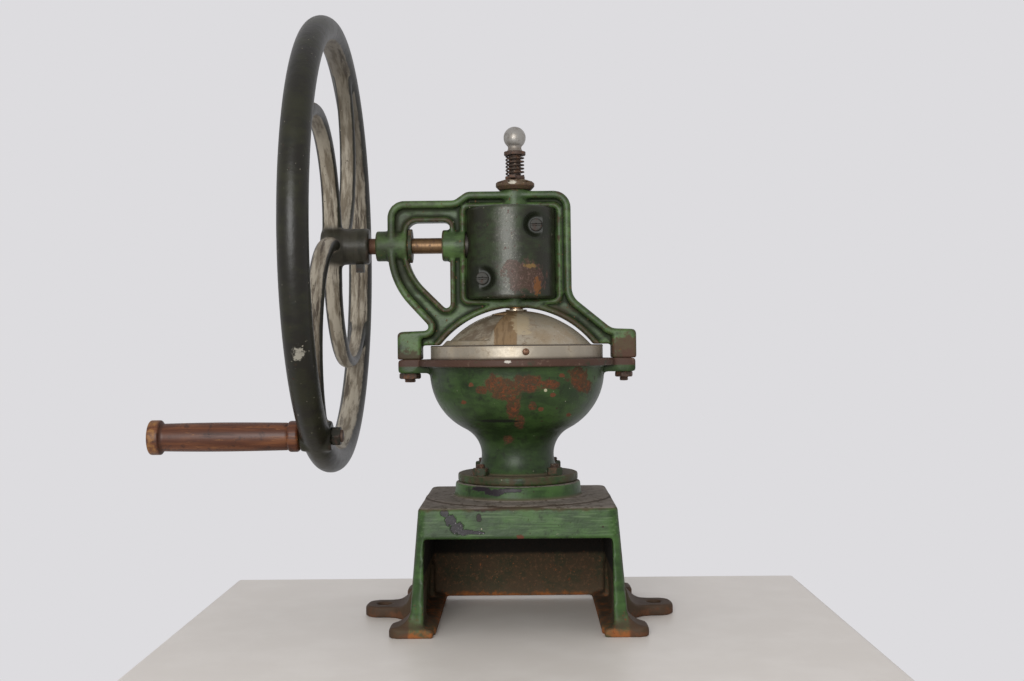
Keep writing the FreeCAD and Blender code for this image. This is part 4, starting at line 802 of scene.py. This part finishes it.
WHEEL_X, RIM_CENTRE, RIM_TUBE = -163.5, 188.0, 12.0
SPOKE_TILT, SPOKE_HALF_HIGH, SPOKE_HALF_DEEP = 5.5, 6.2, 7.8
HUB_R, HUB_IN, HUB_OUT = 16.0, 129.6, 172.4
HANDLE_ANGLE, LUG_R, LUG_HALF, BOSS_ROUND = -60.5, 12.6, 12.9, 1.5


def stood_up(flat):
    """Turns a wheel drawn flat, u to the front, v up and w along the axle, into its place on the crank."""
    u, v, w = flat[..., 0], flat[..., 1], flat[..., 2]
    return np.stack([WHEEL_X - w, -u, CRANK_Z + v], axis=-1)


def wheel_rim():
    """Ring: ((R + r cos s) cos t, (R + r cos s) sin t, r sin s)."""
    t, s = even_turn(240), even_turn(40)[:, None]
    reach = RIM_CENTRE + RIM_TUBE * np.cos(s)
    flat = np.stack([reach * np.cos(t), reach * np.sin(t), np.repeat(RIM_TUBE * np.sin(s), 240, 1)], axis=-1)
    return stood_up(flat), grid_faces(40, 240, loop=True)


def wheel_spoke(number):
    """Flattened tube carried along half a circle from the hub to the rim; it swells towards both ends,
    and its last rows draw in to a point inside the metal that it joins."""
    along = np.radians(np.linspace(4, 177, 120))
    s = even_turn(32)
    share = np.linspace(0, 1, 120)
    swell = 1 + 0.16 * (1 - share) ** 8 + 0.2 * share ** 8
    swell = swell * np.clip(np.minimum(share, 1 - share) * 119 / 2, 0, 1)
    reach = RIM_CENTRE / 2 + SPOKE_HALF_HIGH * swell[:, None] * np.cos(s)
    u = RIM_CENTRE / 2 + reach * np.cos(along)[:, None]
    v = reach * np.sin(along)[:, None]
    w = SPOKE_HALF_DEEP * swell[:, None] * np.sin(s)
    turn = np.radians(SPOKE_TILT + 90 * number)
    flat = np.stack([u * np.cos(turn) - v * np.sin(turn), u * np.sin(turn) + v * np.cos(turn), w], axis=-1)
    return stood_up(flat), grid_faces(120, 32)


def drum(radius, low, high, u, v):
    """Plain boss on the wheel's face, its corners eased, closed at both ends."""
    profile = eased([(0, low), (radius, low), (radius, high), (0, high)], BOSS_ROUND, 6)
    return stood_up(spun(profile, even_turn(64), (u, v))), grid_faces(len(profile), 64)


handle_u = (RIM_CENTRE - 2) * np.cos(np.radians(HANDLE_ANGLE))
handle_v = (RIM_CENTRE - 2) * np.sin(np.radians(HANDLE_ANGLE))
wheel_cast = make_piece("flywheel_cast", [
    wheel_rim(), *(wheel_spoke(number) for number in range(4)),
    drum(HUB_R, WHEEL_X + HUB_IN, WHEEL_X + HUB_OUT, 0, 0),
    drum(LUG_R, -LUG_HALF, LUG_HALF, handle_u, handle_v)])
cast_skin(wheel_cast, grain=1.45, rounds=8)
mark_wear(wheel_cast, gain=1.6, reach=4)
dark_wheel = old_enamel("dark_enamel_wheel", (22, 20, 14), (31, 31, 18), under=(46, 36, 28), shine=0.38)
level = dark_wheel.along("Z") - CRANK_Z
front = dark_wheel.along("Y")
across = dark_wheel.add("ShaderNodeCombineXYZ", {}, {1: front, 2: level})
radius = dark_wheel.length(Y=front, Z=level)
normal = dark_wheel.add("ShaderNodeTexCoord", {}, {}, "Normal")
flat_normal = dark_wheel.add("ShaderNodeVectorMath", {"operation": "MULTIPLY"}, {0: normal, 1: (0, 1, 1)})
spoke_way = dark_wheel.add("ShaderNodeVectorMath", {"operation": "DOT_PRODUCT"}, {0: flat_normal, 1: across},
                           "Value")
rim_inner = (spoke_way * 0.0053).ragged(0.32, 20, 7.0, 0.7).step(-0.62, -0.74) * radius.step(168, 176)
edge_way = dark_wheel.add("ShaderNodeVectorMath", {"operation": "LENGTH"}, {0: flat_normal}, "Value")
spoke_side = edge_way.ragged(0.28, 18, 7.0, 0.7).step(0.72, 0.84) * radius.step(176, 168) * radius.step(15, 22)
bare = rim_inner.most(spoke_side)
scraped = dark_wheel.noise(36, 6.0, 0.66, stretch=(6.0, 1.0, 1.0))
dark_wheel.coat(bare * 0.92, (112, 102, 86), 0.6, 0.1)
dark_wheel.coat(bare * scraped.step(0.40, 0.58) * 0.85, (160, 152, 136), 0.55, 0.1)
scratched = dark_wheel.noise(70, 8.0, 0.72, stretch=(12.0, 1.0, 1.0))
dark_wheel.coat(bare * scratched.step(0.55, 0.62) * 0.85, (62, 52, 42), 0.7, height=-0.05)
dark_wheel.coat(bare * dark_wheel.noise(2.4, 3.0, 0.6).step(0.68, 0.73), (46, 38, 30), 0.8, height=-0.05)
# Painted shade: the bare inner faces are darkened towards the top of the wheel.
dark_wheel.coat(bare * level.ragged(90.0, 24, 5.0, 0.6).step(60, 150) * 0.6, (62, 56, 46), 0.65)
wheel_chip = dark_wheel.patch((-163, -168, 234), (4.5, 14, 7), 0.8, 5.0)
dark_wheel.coat(wheel_chip, (134, 130, 118), 0.5, 0.2, height=-0.05)
dark_wheel.coat(dark_wheel.noise(3, 2.0, 0.5).step(0.735, 0.76), (128, 122, 108), 0.6)
fit(wheel_cast, dark_wheel.seal(0.28), "crank", "flywheel")
dress(dark_iron, "flywheel_set_screw")


# ---- Crank handle -------------------------------------------------------------------------------
# Turned hardwood grip on a long bolt through the wheel's lug, with a nut behind. The varnish has gone
# dark and red, and the beads are worn yellow where the hand rubs.

GRIP_OUT, GRIP_IN, PIN_R = -299.4, -176.95, 5.0
grip_y, grip_z = -handle_u, CRANK_Z + handle_v
length = GRIP_IN - GRIP_OUT
waist = np.linspace(11.6, length - 10.6, 60)
swell = 11.3 + 0.6 * np.sin(np.pi * np.clip((waist - 11) / (length - 22), 0, 1) ** 0.9)
outer_bead = np.concatenate([arc_points((12.4, 1.8), 1.8, -90, 0, 8), arc_points((12.5, 8.0), 1.7, 0, 80, 8)])
inner_bead = np.concatenate([arc_points((10.2, length - 6.8), 2.5, -75, 0, 12),
                             arc_points((10.2, length - 2.5), 2.5, 0, 90, 14)])
grip_profile = np.concatenate([[(8.0, 5.2), (8.0, 0.6), (8.6, 0.0)], outer_bead, [(11.9, 10.4)],
                               np.stack([swell, waist], axis=-1), inner_bead, [(5.2, length), (5.2, 5.2)]])
grip_profile = grip_profile + np.array([0, GRIP_OUT])
grip_wood = lying_piece("turned_grip", grip_profile, turns=80, closed=True, y=grip_y, z=grip_z, crease=70)
mark_wear(grip_wood, gain=0.8, reach=2)
wood = Finish("old_varnished_wood", (68, 36, 20), 0.42)
ridge = wood.wear()
fibre = wood.noise(2.2, 5.0, 0.6, stretch=(0.05, 1.0, 1.0))
streak = wood.noise(7, 4.0, 0.6, stretch=(0.10, 1.0, 1.0), bend=0.4)
wood.coat(streak.step(0.42, 0.68), (98, 58, 32), 0.46)
wood.coat(fibre.step(0.52, 0.66) * 0.7, (46, 24, 16), 0.5, height=-0.05)
wood.coat(wood.noise(9, 6.0, 0.7).step(0.55, 0.66) * 0.75, (42, 24, 18), 0.5)
wood.coat(wood.noise(3.2, 4.0, 0.6).step(0.68, 0.73), (34, 22, 18), 0.6, height=-0.04)
worn_streak = wood.noise(3.4, 4.0, 0.7, stretch=(0.16, 1.0, 1.0), bend=0.6)
wood.coat(worn_streak.step(0.62, 0.70) * 0.8, (140, 96, 52), 0.6)
far = wood.along("X")
ends = far.ragged(3.0, 4).step(-290.5, -293.5) * 0.75
wood.coat(ends * wood.noise(5, 5.0, 0.7).step(0.38, 0.6), (132, 92, 48), 0.55)
wood.coat(ridge.ragged(0.6, 4, 4.0, 0.7).step(0.22, 0.5), (138, 100, 56), 0.6)
wood.coat(far.step(-291.5, -289.5) * far.step(-286.5, -288.5) * 0.6, (48, 28, 20), 0.6)
wood.grain(fibre, 0.06)
fit(grip_wood, wood.seal(0.3), "grip", "wooden_grip")

PIN_OUT, PIN_IN, PIN_HEAD_R, PIN_HEAD_THICK = GRIP_OUT + 0.8, -141.6, 7.5, 4.1
pin_profile = eased([(0, PIN_OUT), (PIN_HEAD_R, PIN_OUT), (PIN_HEAD_R, PIN_OUT + PIN_HEAD_THICK),
                     (PIN_R, PIN_OUT + PIN_HEAD_THICK), (PIN_R, PIN_IN), (0, PIN_IN)], 0.6)
pin = lying_piece("handle_bolt", pin_profile, turns=56, y=grip_y, z=grip_z)
fit(pin, rusty_steel, "crank", "handle_pin")

nut_points, nut_faces = hexagon_nut(16.4, -150.45, -143.5, 4.9, (0, 0), 0)
nut_points = np.stack([nut_points[..., 2], grip_y + nut_points[..., 0], grip_z + nut_points[..., 1]], axis=-1)
handle_nut = make_piece("handle_nut_hex", [(nut_points, nut_faces)])
fit(handle_nut, dark_iron, "crank", "handle_nut")


# ---- Lid ----------------------------------------------------------------------------------------
# Spun sheet lid: a domed top with a pie-shaped filling window, a flat shoulder and a band over the
# hopper's rim, held by three round-head screws. A sheet shutter turns under the window on the eyelet.

DOME_R, DOME_BASE, SHOULDER, BAND_R, SHEET = 86.5, 65.5, 238.0, 76.5, 1.2
DOME_Z = SHOULDER + 0.6 - np.sqrt(DOME_R ** 2 - DOME_BASE ** 2)
WINDOW, WINDOW_IN, WINDOW_OUT = np.radians((165.0, 248.0)), 22.0, 62.0
EYELET_R = 7.15


def dented(r, t):
    """Slow dents of the beaten sheet, never outwards: a few waves round and along."""
    return -0.22 * (1 + np.sin(2 * t + r / 11) * np.sin(3 * t - r / 19))


def lid_skin():
    """Dome, shoulder and band in one profile of (radius, height), carried round; the faces inside the
    filling window's radii and azimuths are left out."""
    dome_r = np.concatenate([straight(EYELET_R, WINDOW_IN, 7), straight(WINDOW_IN, WINDOW_OUT, 29),
                             np.linspace(WINDOW_OUT, DOME_BASE - 0.3, 4)])
    dome = np.stack([dome_r, DOME_Z + np.sqrt(DOME_R ** 2 - dome_r ** 2)], axis=-1)
    ledge = np.array([(66.2, 0.1), (67.5, -0.05), (70, -0.1), (73, -0.05)]) + (0, SHOULDER)
    roll = arc_points((BAND_R - 1.2, SHOULDER - 1.2), 1.2, 90, 0, 6)
    band = np.linspace((BAND_R - 0.15, SHOULDER - 2), (BAND_R - 0.15, 227.2), 9)
    band = np.concatenate([band, [(BAND_R - 0.05, 226.1)]])
    profile = np.concatenate([dome, ledge, roll, band])
    t = np.concatenate([np.linspace(WINDOW[0], WINDOW[1], 50),
                        np.linspace(WINDOW[1], WINDOW[0] + 2 * np.pi, 167)[1:-1]])
    points = spun(profile, t)
    pressed = np.clip((profile[:, 0] - 9) / 8, 0, 1) * np.clip((66 - profile[:, 0]) / 6, 0, 1)
    points[..., 2] += pressed[:, None] * dented(profile[:, :1], t)
    faces = grid_faces(len(profile), len(t))
    middle = points.reshape(-1, 3)[faces].mean(axis=1)
    reach = np.hypot(middle[:, 0], middle[:, 1])
    azimuth = np.arctan2(middle[:, 1], middle[:, 0]) % (2 * np.pi)
    window = (reach > WINDOW_IN) & (reach < WINDOW_OUT) & (azimuth > WINDOW[0]) & (azimuth < WINDOW[1])
    return points, faces[~window]


def sheet_metal(name):
    """Dull spun sheet: stained brown and grey, scratched round the axis, bright where it is rubbed."""
    finish = Finish(name, (158, 148, 130), 0.42, 0.5)
    spin = finish.noise(1.1, 4.0, 0.6, stretch=(0.35, 0.35, 3.0))
    finish.coat(finish.noise(30, 6.0, 0.65).step(0.40, 0.66), (138, 122, 98), 0.5, 0.35)
    finish.coat(finish.noise(7, 6.0, 0.72).step(0.55, 0.68) * 0.7, (104, 86, 64), 0.58, 0.2)
    finish.coat(finish.noise(2.4, 4.0, 0.75, bend=1.2).step(0.60, 0.66) * 0.8, (176, 170, 158), 0.34, 0.7)
    finish.coat(finish.noise(2.8, 3.0, 0.6).step(0.70, 0.73), (54, 38, 28), 0.7, height=-0.03)
    finish.grain(spin, 0.04)
    finish.grain(finish.noise(14, 2.0), 0.5)
    return finish


lid_dome = make_piece("lid_dome", [lid_skin()], crease=60, outward=False)
if lid_dome.data.polygons[0].normal.z < 0:
    lid_dome.data.flip_normals()
thicken(lid_dome, SHEET)
lid_sheet = sheet_metal("spun_lid_sheet")
sideways, front, height = (lid_sheet.along(axis) for axis in "XYZ")
streaks = lid_sheet.noise(3, 4.0, 0.6, stretch=(1.0, 0.15, 0.15))
tan_band = abs(sideways + 9.0 + (streaks - 0.5) * 3.0).step(10.5, 9.0)
tan_band = tan_band * front.step(-6, -12) * height.step(237, 238.5)
lid_sheet.coat(tan_band * 0.85, (116, 90, 56), 0.55, 0.15)
lid_sheet.coat(tan_band * streaks.step(0.5, 0.6) * 0.6, (86, 66, 42), 0.65, 0.1)
pale = lid_sheet.patch((4, -40, 256), (8, 26, 14), 0.7, 7.0)
lid_sheet.coat(pale * 0.7, (168, 152, 122), 0.5, 0.3)
crown = lid_sheet.length(X=sideways, Y=front)
lid_sheet.coat(crown.ragged(10.0, 5).step(26, 14) * 0.6, (108, 80, 50), 0.6, 0.2)
shine = height.step(236.8, 235.6) * lid_sheet.noise(16, 4.0, 0.6, stretch=(1.0, 1.0, 0.4)).step(0.30, 0.5)
lid_sheet.coat(shine * 0.8, (144, 136, 122), 0.4, 0.6)
roll = height.step(236.4, 237.4) * height.step(238.4, 237.8) * crown.step(70, 75)
lid_sheet.coat(roll, (52, 42, 34), 0.7, 0.1)
lid_sheet.coat(height.step(229.0, 226.6) * 0.6, (72, 56, 44), 0.7, 0.2)
fit(lid_dome, lid_sheet.seal(), "stand", "lid_shell")

dress(sheet_metal("plain_lid_sheet").seal(), "lid_ring")

SHUTTER_FROM, SHUTTER_SPAN, SHUTTER_SHEET = np.radians(193.0), np.radians(96.0), 0.7
under_dome = DOME_R - SHEET - 0.62
wing_t = SHUTTER_FROM + np.linspace(0, 1, 72) * SHUTTER_SPAN
wing_r = np.linspace(12, 63.4, 40)[:, None]
wing = turned(wing_r, wing_t, DOME_Z + np.sqrt(under_dome ** 2 - wing_r ** 2))
eye_r = np.linspace(EYELET_R + 0.15, 15.9, 8)[:, None]
eye = turned(eye_r, even_turn(96), DOME_Z + np.sqrt(under_dome ** 2 - eye_r ** 2) - 0.02)
shutter = make_piece("lid_shutter_wing", [(wing, grid_faces(40, 72, ring=False)), (eye, grid_faces(8, 96))],
                     outward=False)
if shutter.data.polygons[0].normal.z < 0:
    shutter.data.flip_normals()
thicken(shutter, SHUTTER_SHEET)
shutter_sheet = sheet_metal("shutter_sheet")
shutter_sheet.coat(shutter_sheet.noise(16, 6.0, 0.7).step(0.36, 0.6) * 0.8, (78, 62, 44), 0.62, 0.2)
fit(shutter, shutter_sheet.seal(), "shutter", "lid_shutter")

eyelet_metal = flecked("rubbed_eyelet", (150, 140, 122), 0.34, 0.8, (0.8, 3.0, 0.6), 0.04, [
    ((3, 5.0, 0.7), (0.5, 0.62), (96, 78, 56), 0.55, 0.4)])
dress(eyelet_metal, "lid_eyelet")

screw_metal = flecked("coppery_screw", (128, 96, 74), 0.4, 0.7, (0.6, 3.0, 0.6), 0.04, [
    ((2, 5.0, 0.7), (0.5, 0.62), (74, 50, 36), 0.6, 0.3)])


def round_head(angle, reach, level):
    """Domed screw head on the band: (h cos a, h sin a) over a circle, its height falling as a circle's does,
    with a shallow slot across it, and a shank that closes inside the sheet."""
    turns = even_turn(48)
    share = np.array([0, 0.12, 0.25, 0.4, 0.55, 0.7, 0.82, 0.92, 0.98, 1.0, 1.0])[:, None]
    out = np.sqrt(np.clip(1 - share ** 2, 0, 1)) * 1.75
    out[-1] = -0.8
    side = 2.95 * share * np.cos(turns)
    high = 2.95 * share * np.sin(turns)
    out = np.where((np.abs(side) < 0.42) & (share < 0.8), out - 0.5, out + 0 * side)
    cap = np.stack([reach + out, side, level + high], axis=-1)
    cap = np.concatenate([cap, np.broadcast_to([reach - 0.8, 0, level], (1, 48, 3))])
    turn = np.radians(angle)
    x = cap[..., 0] * np.cos(turn) - cap[..., 1] * np.sin(turn)
    y = cap[..., 0] * np.sin(turn) + cap[..., 1] * np.cos(turn)
    return np.stack([x, y, cap[..., 2]], axis=-1), grid_faces(12, 48)


lid_screw_heads = make_piece("lid_screw_heads", [round_head(a, BAND_R, 232.2) for a in (-84, 36, 156)])
fit(lid_screw_heads, screw_metal, "stand", "lid_screws")


# ---- Burr adjuster ------------------------------------------------------------------------------
# Notched click plate on the frame, a finger collar that turns over it, a wire spring, a washer and a
# pear-shaped alloy knob, all on one threaded screw that lifts and lowers the spindle.

PLATE_TOP, COLLAR_TOP, FINGER = 384.8, 388.0, 261.0
notch_middles = np.radians(FINGER + 45 * np.arange(8))
plate_t = dense_near(notch_middles + 0.21, 0.05, 160, 11)
plate_t = np.sort(np.concatenate([plate_t, dense_near(notch_middles - 0.21, 0.05, 8, 11)]))
plate_profile = np.concatenate([eased([(6.0, 375.6), (14.2, 375.6), (17.2, 378.8), (17.2, 381.0)], 0.4),
                                arc_points((15.2, 381.0), 2.0, 6, 60, 8),
                                straight((16.1, 382.8), (13.3, 383.7), 5),
                                [(13.25, 383.72), (13.15, 383.75), (10.0, PLATE_TOP), (6.0, PLATE_TOP)]])
plate = spun(plate_profile, plate_t)
notch_way = (np.degrees(plate_t) - FINGER + 22.5) % 45 - 22.5
beside = np.abs(plate_profile[:, :1] * np.sin(np.radians(notch_way)))
sunk = (plate_profile[:, :1] > 13.2) & (beside < 3.6)
plate[..., 2] = np.where(sunk, np.minimum(plate[..., 2], 381.0), plate[..., 2])
plate_faces = grid_faces(len(plate_profile), len(plate_t), loop=True)
click_plate = make_piece("click_plate", [(plate, plate_faces)], crease=32)
mark_wear(click_plate, gain=0.8, reach=2)
plate_finish = Finish("rusty_click_plate", (78, 62, 42), 0.55, 0.3)
plate_finish.coat(plate_finish.noise(5, 6.0, 0.7).step(0.46, 0.6), (68, 48, 34), 0.8, 0.15, height=0.06)
plate_finish.coat(plate_finish.noise(2.2, 4.0, 0.7).step(0.6, 0.68), (112, 70, 42), 0.85, 0.1)
plate_finish.coat(plate_finish.wear().ragged(0.5, 3).step(0.2, 0.45), (148, 132, 108), 0.42, 0.6)
plate_finish.coat(plate_finish.patch((-2.4, -16, 381.2), (3.6, 5, 2.0), 0.5, 2.0), (150, 144, 130), 0.5, 0.2)
plate_finish.grain(plate_finish.noise(1.0, 4.0, 0.65), 0.08)
fit(click_plate, plate_finish.seal(), "stand", "notched_disc")

FINGER_ANGLE = np.radians(FINGER)
finger_half = np.arcsin(2.6 / 12)
collar_t = dense_near([FINGER_ANGLE - finger_half, FINGER_ANGLE + finger_half], 0.08, 96, 25)
off = (collar_t - FINGER_ANGLE + np.pi) % (2 * np.pi) - np.pi
finger = np.where(np.abs(off) < 1.2, np.minimum(15.2 / np.cos(off), 2.6 / (np.abs(np.sin(off)) + 1e-6)), 0)
collar_plan = np.maximum(8.7, finger)
collar_levels = [(5.65, 385.2), (0.97, 385.15), (1.0, 385.5), (1.0, 387.6), (0.97, 387.95), (5.65, 387.95)]
index_r = np.stack([np.full(len(collar_t), r) if r > 2 else collar_plan * r for r, z in collar_levels])
index_z = np.array([z for r, z in collar_levels])[:, None]
collar_faces = grid_faces(*index_r.shape, loop=True)
finger_collar = make_piece("finger_collar", [(turned(index_r, collar_t, index_z), collar_faces)])
fit(finger_collar, rusty_steel, "index", "index_collar")

spring_steel = flecked("dark_spring_steel", (56, 46, 38), 0.5, 0.6, (0.8, 3.0, 0.6), 0.05, [
    ((4, 5.0, 0.7), (0.48, 0.62), (84, 58, 40), 0.75, 0.25),
    ((1.6, 4.0, 0.7), (0.62, 0.69), (128, 118, 104), 0.4, 0.8)])

WIRE_R, COIL_R, COILS, SPRING_TOP = 0.75, 7.7, 5.5, 406.7
path = np.linspace(0, 1, 420)
way = 2 * np.pi * COILS * path
rise = np.linspace(COLLAR_TOP + WIRE_R + 0.08, SPRING_TOP - WIRE_R - 0.08, len(path))
section = even_turn(12)
wire = WIRE_R * np.clip(np.minimum(path, 1 - path) * 800, 0, 1)[:, None]
coil_reach = COIL_R + wire * np.cos(section)
coil_points = turned(coil_reach, way[:, None], rise[:, None] + wire * np.sin(section))
spring = make_piece("wire_spring", [(coil_points, grid_faces(420, 12))], crease=80)
spring.data.materials.append(spring_steel)
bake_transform(spring)
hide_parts("click_spring")

screw_bar = threaded_bar(5.5, 346.2, 419.9, 1.5, deep=0.22)
foot_profile = eased([(0, 332.2), (6.4, 332.2), (6.4, 338.3), (4.45, 338.3), (4.45, 346.6), (0, 346.6)], 0.4)
foot_points = spun(foot_profile, even_turn(40))
screw = make_piece("adjusting_screw_bar", [screw_bar, (foot_points, grid_faces(len(foot_profile), 40))])
fit(screw, spring_steel, "adjuster", "adjusting_screw")

washer_profile = eased([(5.6, 406.75), (9.6, 406.75), (9.6, 409.95), (5.6, 409.95)], 0.5)
washer = spun_piece("spring_cup_washer", washer_profile, turns=72, closed=True)
fit(washer, rusty_steel, "adjuster", "spring_washer")

KNOB_R, KNOB_TOP = 9.85, 432.35
ball = arc_points((0, KNOB_TOP - KNOB_R), KNOB_R, 90, -50, 40)
join_r, join_z = ball[-1]
sweep = np.linspace(0, 1, 16)[1:, None]
neck = (1 - sweep) ** 3 * np.array([join_r, join_z]) + 3 * sweep * (1 - sweep) ** 2 * np.array([5.6, 413.6]) \
    + 3 * sweep ** 2 * (1 - sweep) * np.array([5.9, 412.3]) + sweep ** 3 * np.array([6.95, 410.5])
knob = spun_piece("pear_knob", np.concatenate([ball, neck, [(6.7, 410.05), (0, 410.05)]]), turns=72)
alloy = Finish("handled_alloy", (150, 147, 141), 0.36, 0.75)
alloy.coat(alloy.noise(4, 6.0, 0.7).step(0.46, 0.64), (124, 118, 110), 0.46, 0.6)
alloy.coat(alloy.noise(1.3, 5.0, 0.75, bend=0.8).step(0.58, 0.66), (188, 184, 176), 0.32, 0.85)
alloy.coat(alloy.along("Z").step(417.5, 412) * 0.6, (96, 82, 68), 0.6, 0.4)
alloy.coat(alloy.noise(2.0, 3.0, 0.6).step(0.69, 0.73), (84, 72, 60), 0.6, 0.3)
alloy.grain(alloy.noise(0.7, 4.0, 0.6), 0.05)
fit(knob, alloy.seal(), "adjuster", "adjuster_knob")


# ---- Table, light and camera --------------------------------------------------------------------
# A plain pale table top under the grinder, soft light from in front and a little above, and pale
# surroundings that light the rest evenly.

def placed(x_axis, y_axis, z_axis, place):
    """The matrix that turns an object's axes to these and puts it in this place."""
    return Matrix(np.vstack([np.column_stack([x_axis, y_axis, z_axis, place]), [0, 0, 0, 1]]).tolist())


(TABLE_LEFT, TABLE_RIGHT), (TABLE_FRONT, TABLE_BACK), TABLE_THICK = (-290.0, 280.0), (-380.0, 168.0), 30.0
corner_x = np.array([TABLE_LEFT, TABLE_RIGHT, TABLE_RIGHT, TABLE_LEFT])
corner_y = np.array([TABLE_FRONT, TABLE_FRONT, TABLE_BACK, TABLE_BACK])
levels = np.array([-TABLE_THICK, -TABLE_THICK, 0.0, 0.0])
spread = np.array([0.0, 1.0, 1.0, 0.0])
table_points = np.stack([np.outer(spread, corner_x), np.outer(spread, corner_y),
                         np.repeat(levels[:, None], 4, 1)], axis=-1)
table = make_piece("table_top", [(table_points, grid_faces(4, 4))], crease=20)
edge = table.modifiers.new("edge", "BEVEL")
edge.width = 0.004
edge.segments = 3
stone = Finish("pale_table", (202, 196, 188), 0.42)
stone.coat(stone.noise(60, 5.0, 0.6).step(0.4, 0.7) * 0.5, (212, 207, 200), 0.46)
stone.grain(stone.noise(30, 3.0, 0.5), 0.05)
table.data.materials.append(stone.seal())

room = bpy.data.worlds.new("pale_room")
room.use_nodes = True
room.node_tree.nodes["Background"].inputs["Color"].default_value = enamel(221, 220, 223)
room.node_tree.nodes["Background"].inputs["Strength"].default_value = 1.0
bpy.context.scene.world = room

lamp = bpy.data.lights.new("key_panel", "AREA")
lamp.shape = "DISK"
lamp.size = 1.0
lamp.energy = 32.0
key = bpy.data.objects.new("key_panel", lamp)
key_place = np.array([-0.34, -1.9, 0.56])
aim = np.array([-0.03, 0.0, 0.22]) - key_place
aim = aim / np.linalg.norm(aim)
side = np.cross(aim, (0, 0, 1))
side = side / np.linalg.norm(side)
upright = np.cross(side, aim)
key.matrix_world = placed(side, upright, -aim, key_place)
bpy.context.scene.collection.objects.link(key)

CAMERA_PLACE = np.array([0.00637, -1.0904, 0.23616])
FOCAL_SHARE = 1.19668
YAW, PITCH, ROLL = np.radians(0.55), np.radians(0.31), np.radians(0.57)
ahead = np.array([-np.sin(YAW), np.cos(YAW), 0.0])
right = np.array([np.cos(YAW), np.sin(YAW), 0.0])
upward = np.array([0.0, 0.0, 1.0])
look = ahead * np.cos(PITCH) + upward * np.sin(PITCH)
head = upward * np.cos(PITCH) - ahead * np.sin(PITCH)
rolled_right = right * np.cos(ROLL) - head * np.sin(ROLL)
rolled_head = right * np.sin(ROLL) + head * np.cos(ROLL)
lens = bpy.data.cameras.new("camera")
lens.sensor_width = 36.0
lens.lens = FOCAL_SHARE * lens.sensor_width
lens.clip_start = 0.01
camera = bpy.data.objects.new("camera", lens)
camera.matrix_world = placed(rolled_right, rolled_head, -look, CAMERA_PLACE)
bpy.context.scene.collection.objects.link(camera)
bpy.context.scene.camera = camera
bpy.context.scene.view_settings.view_transform = "Standard"
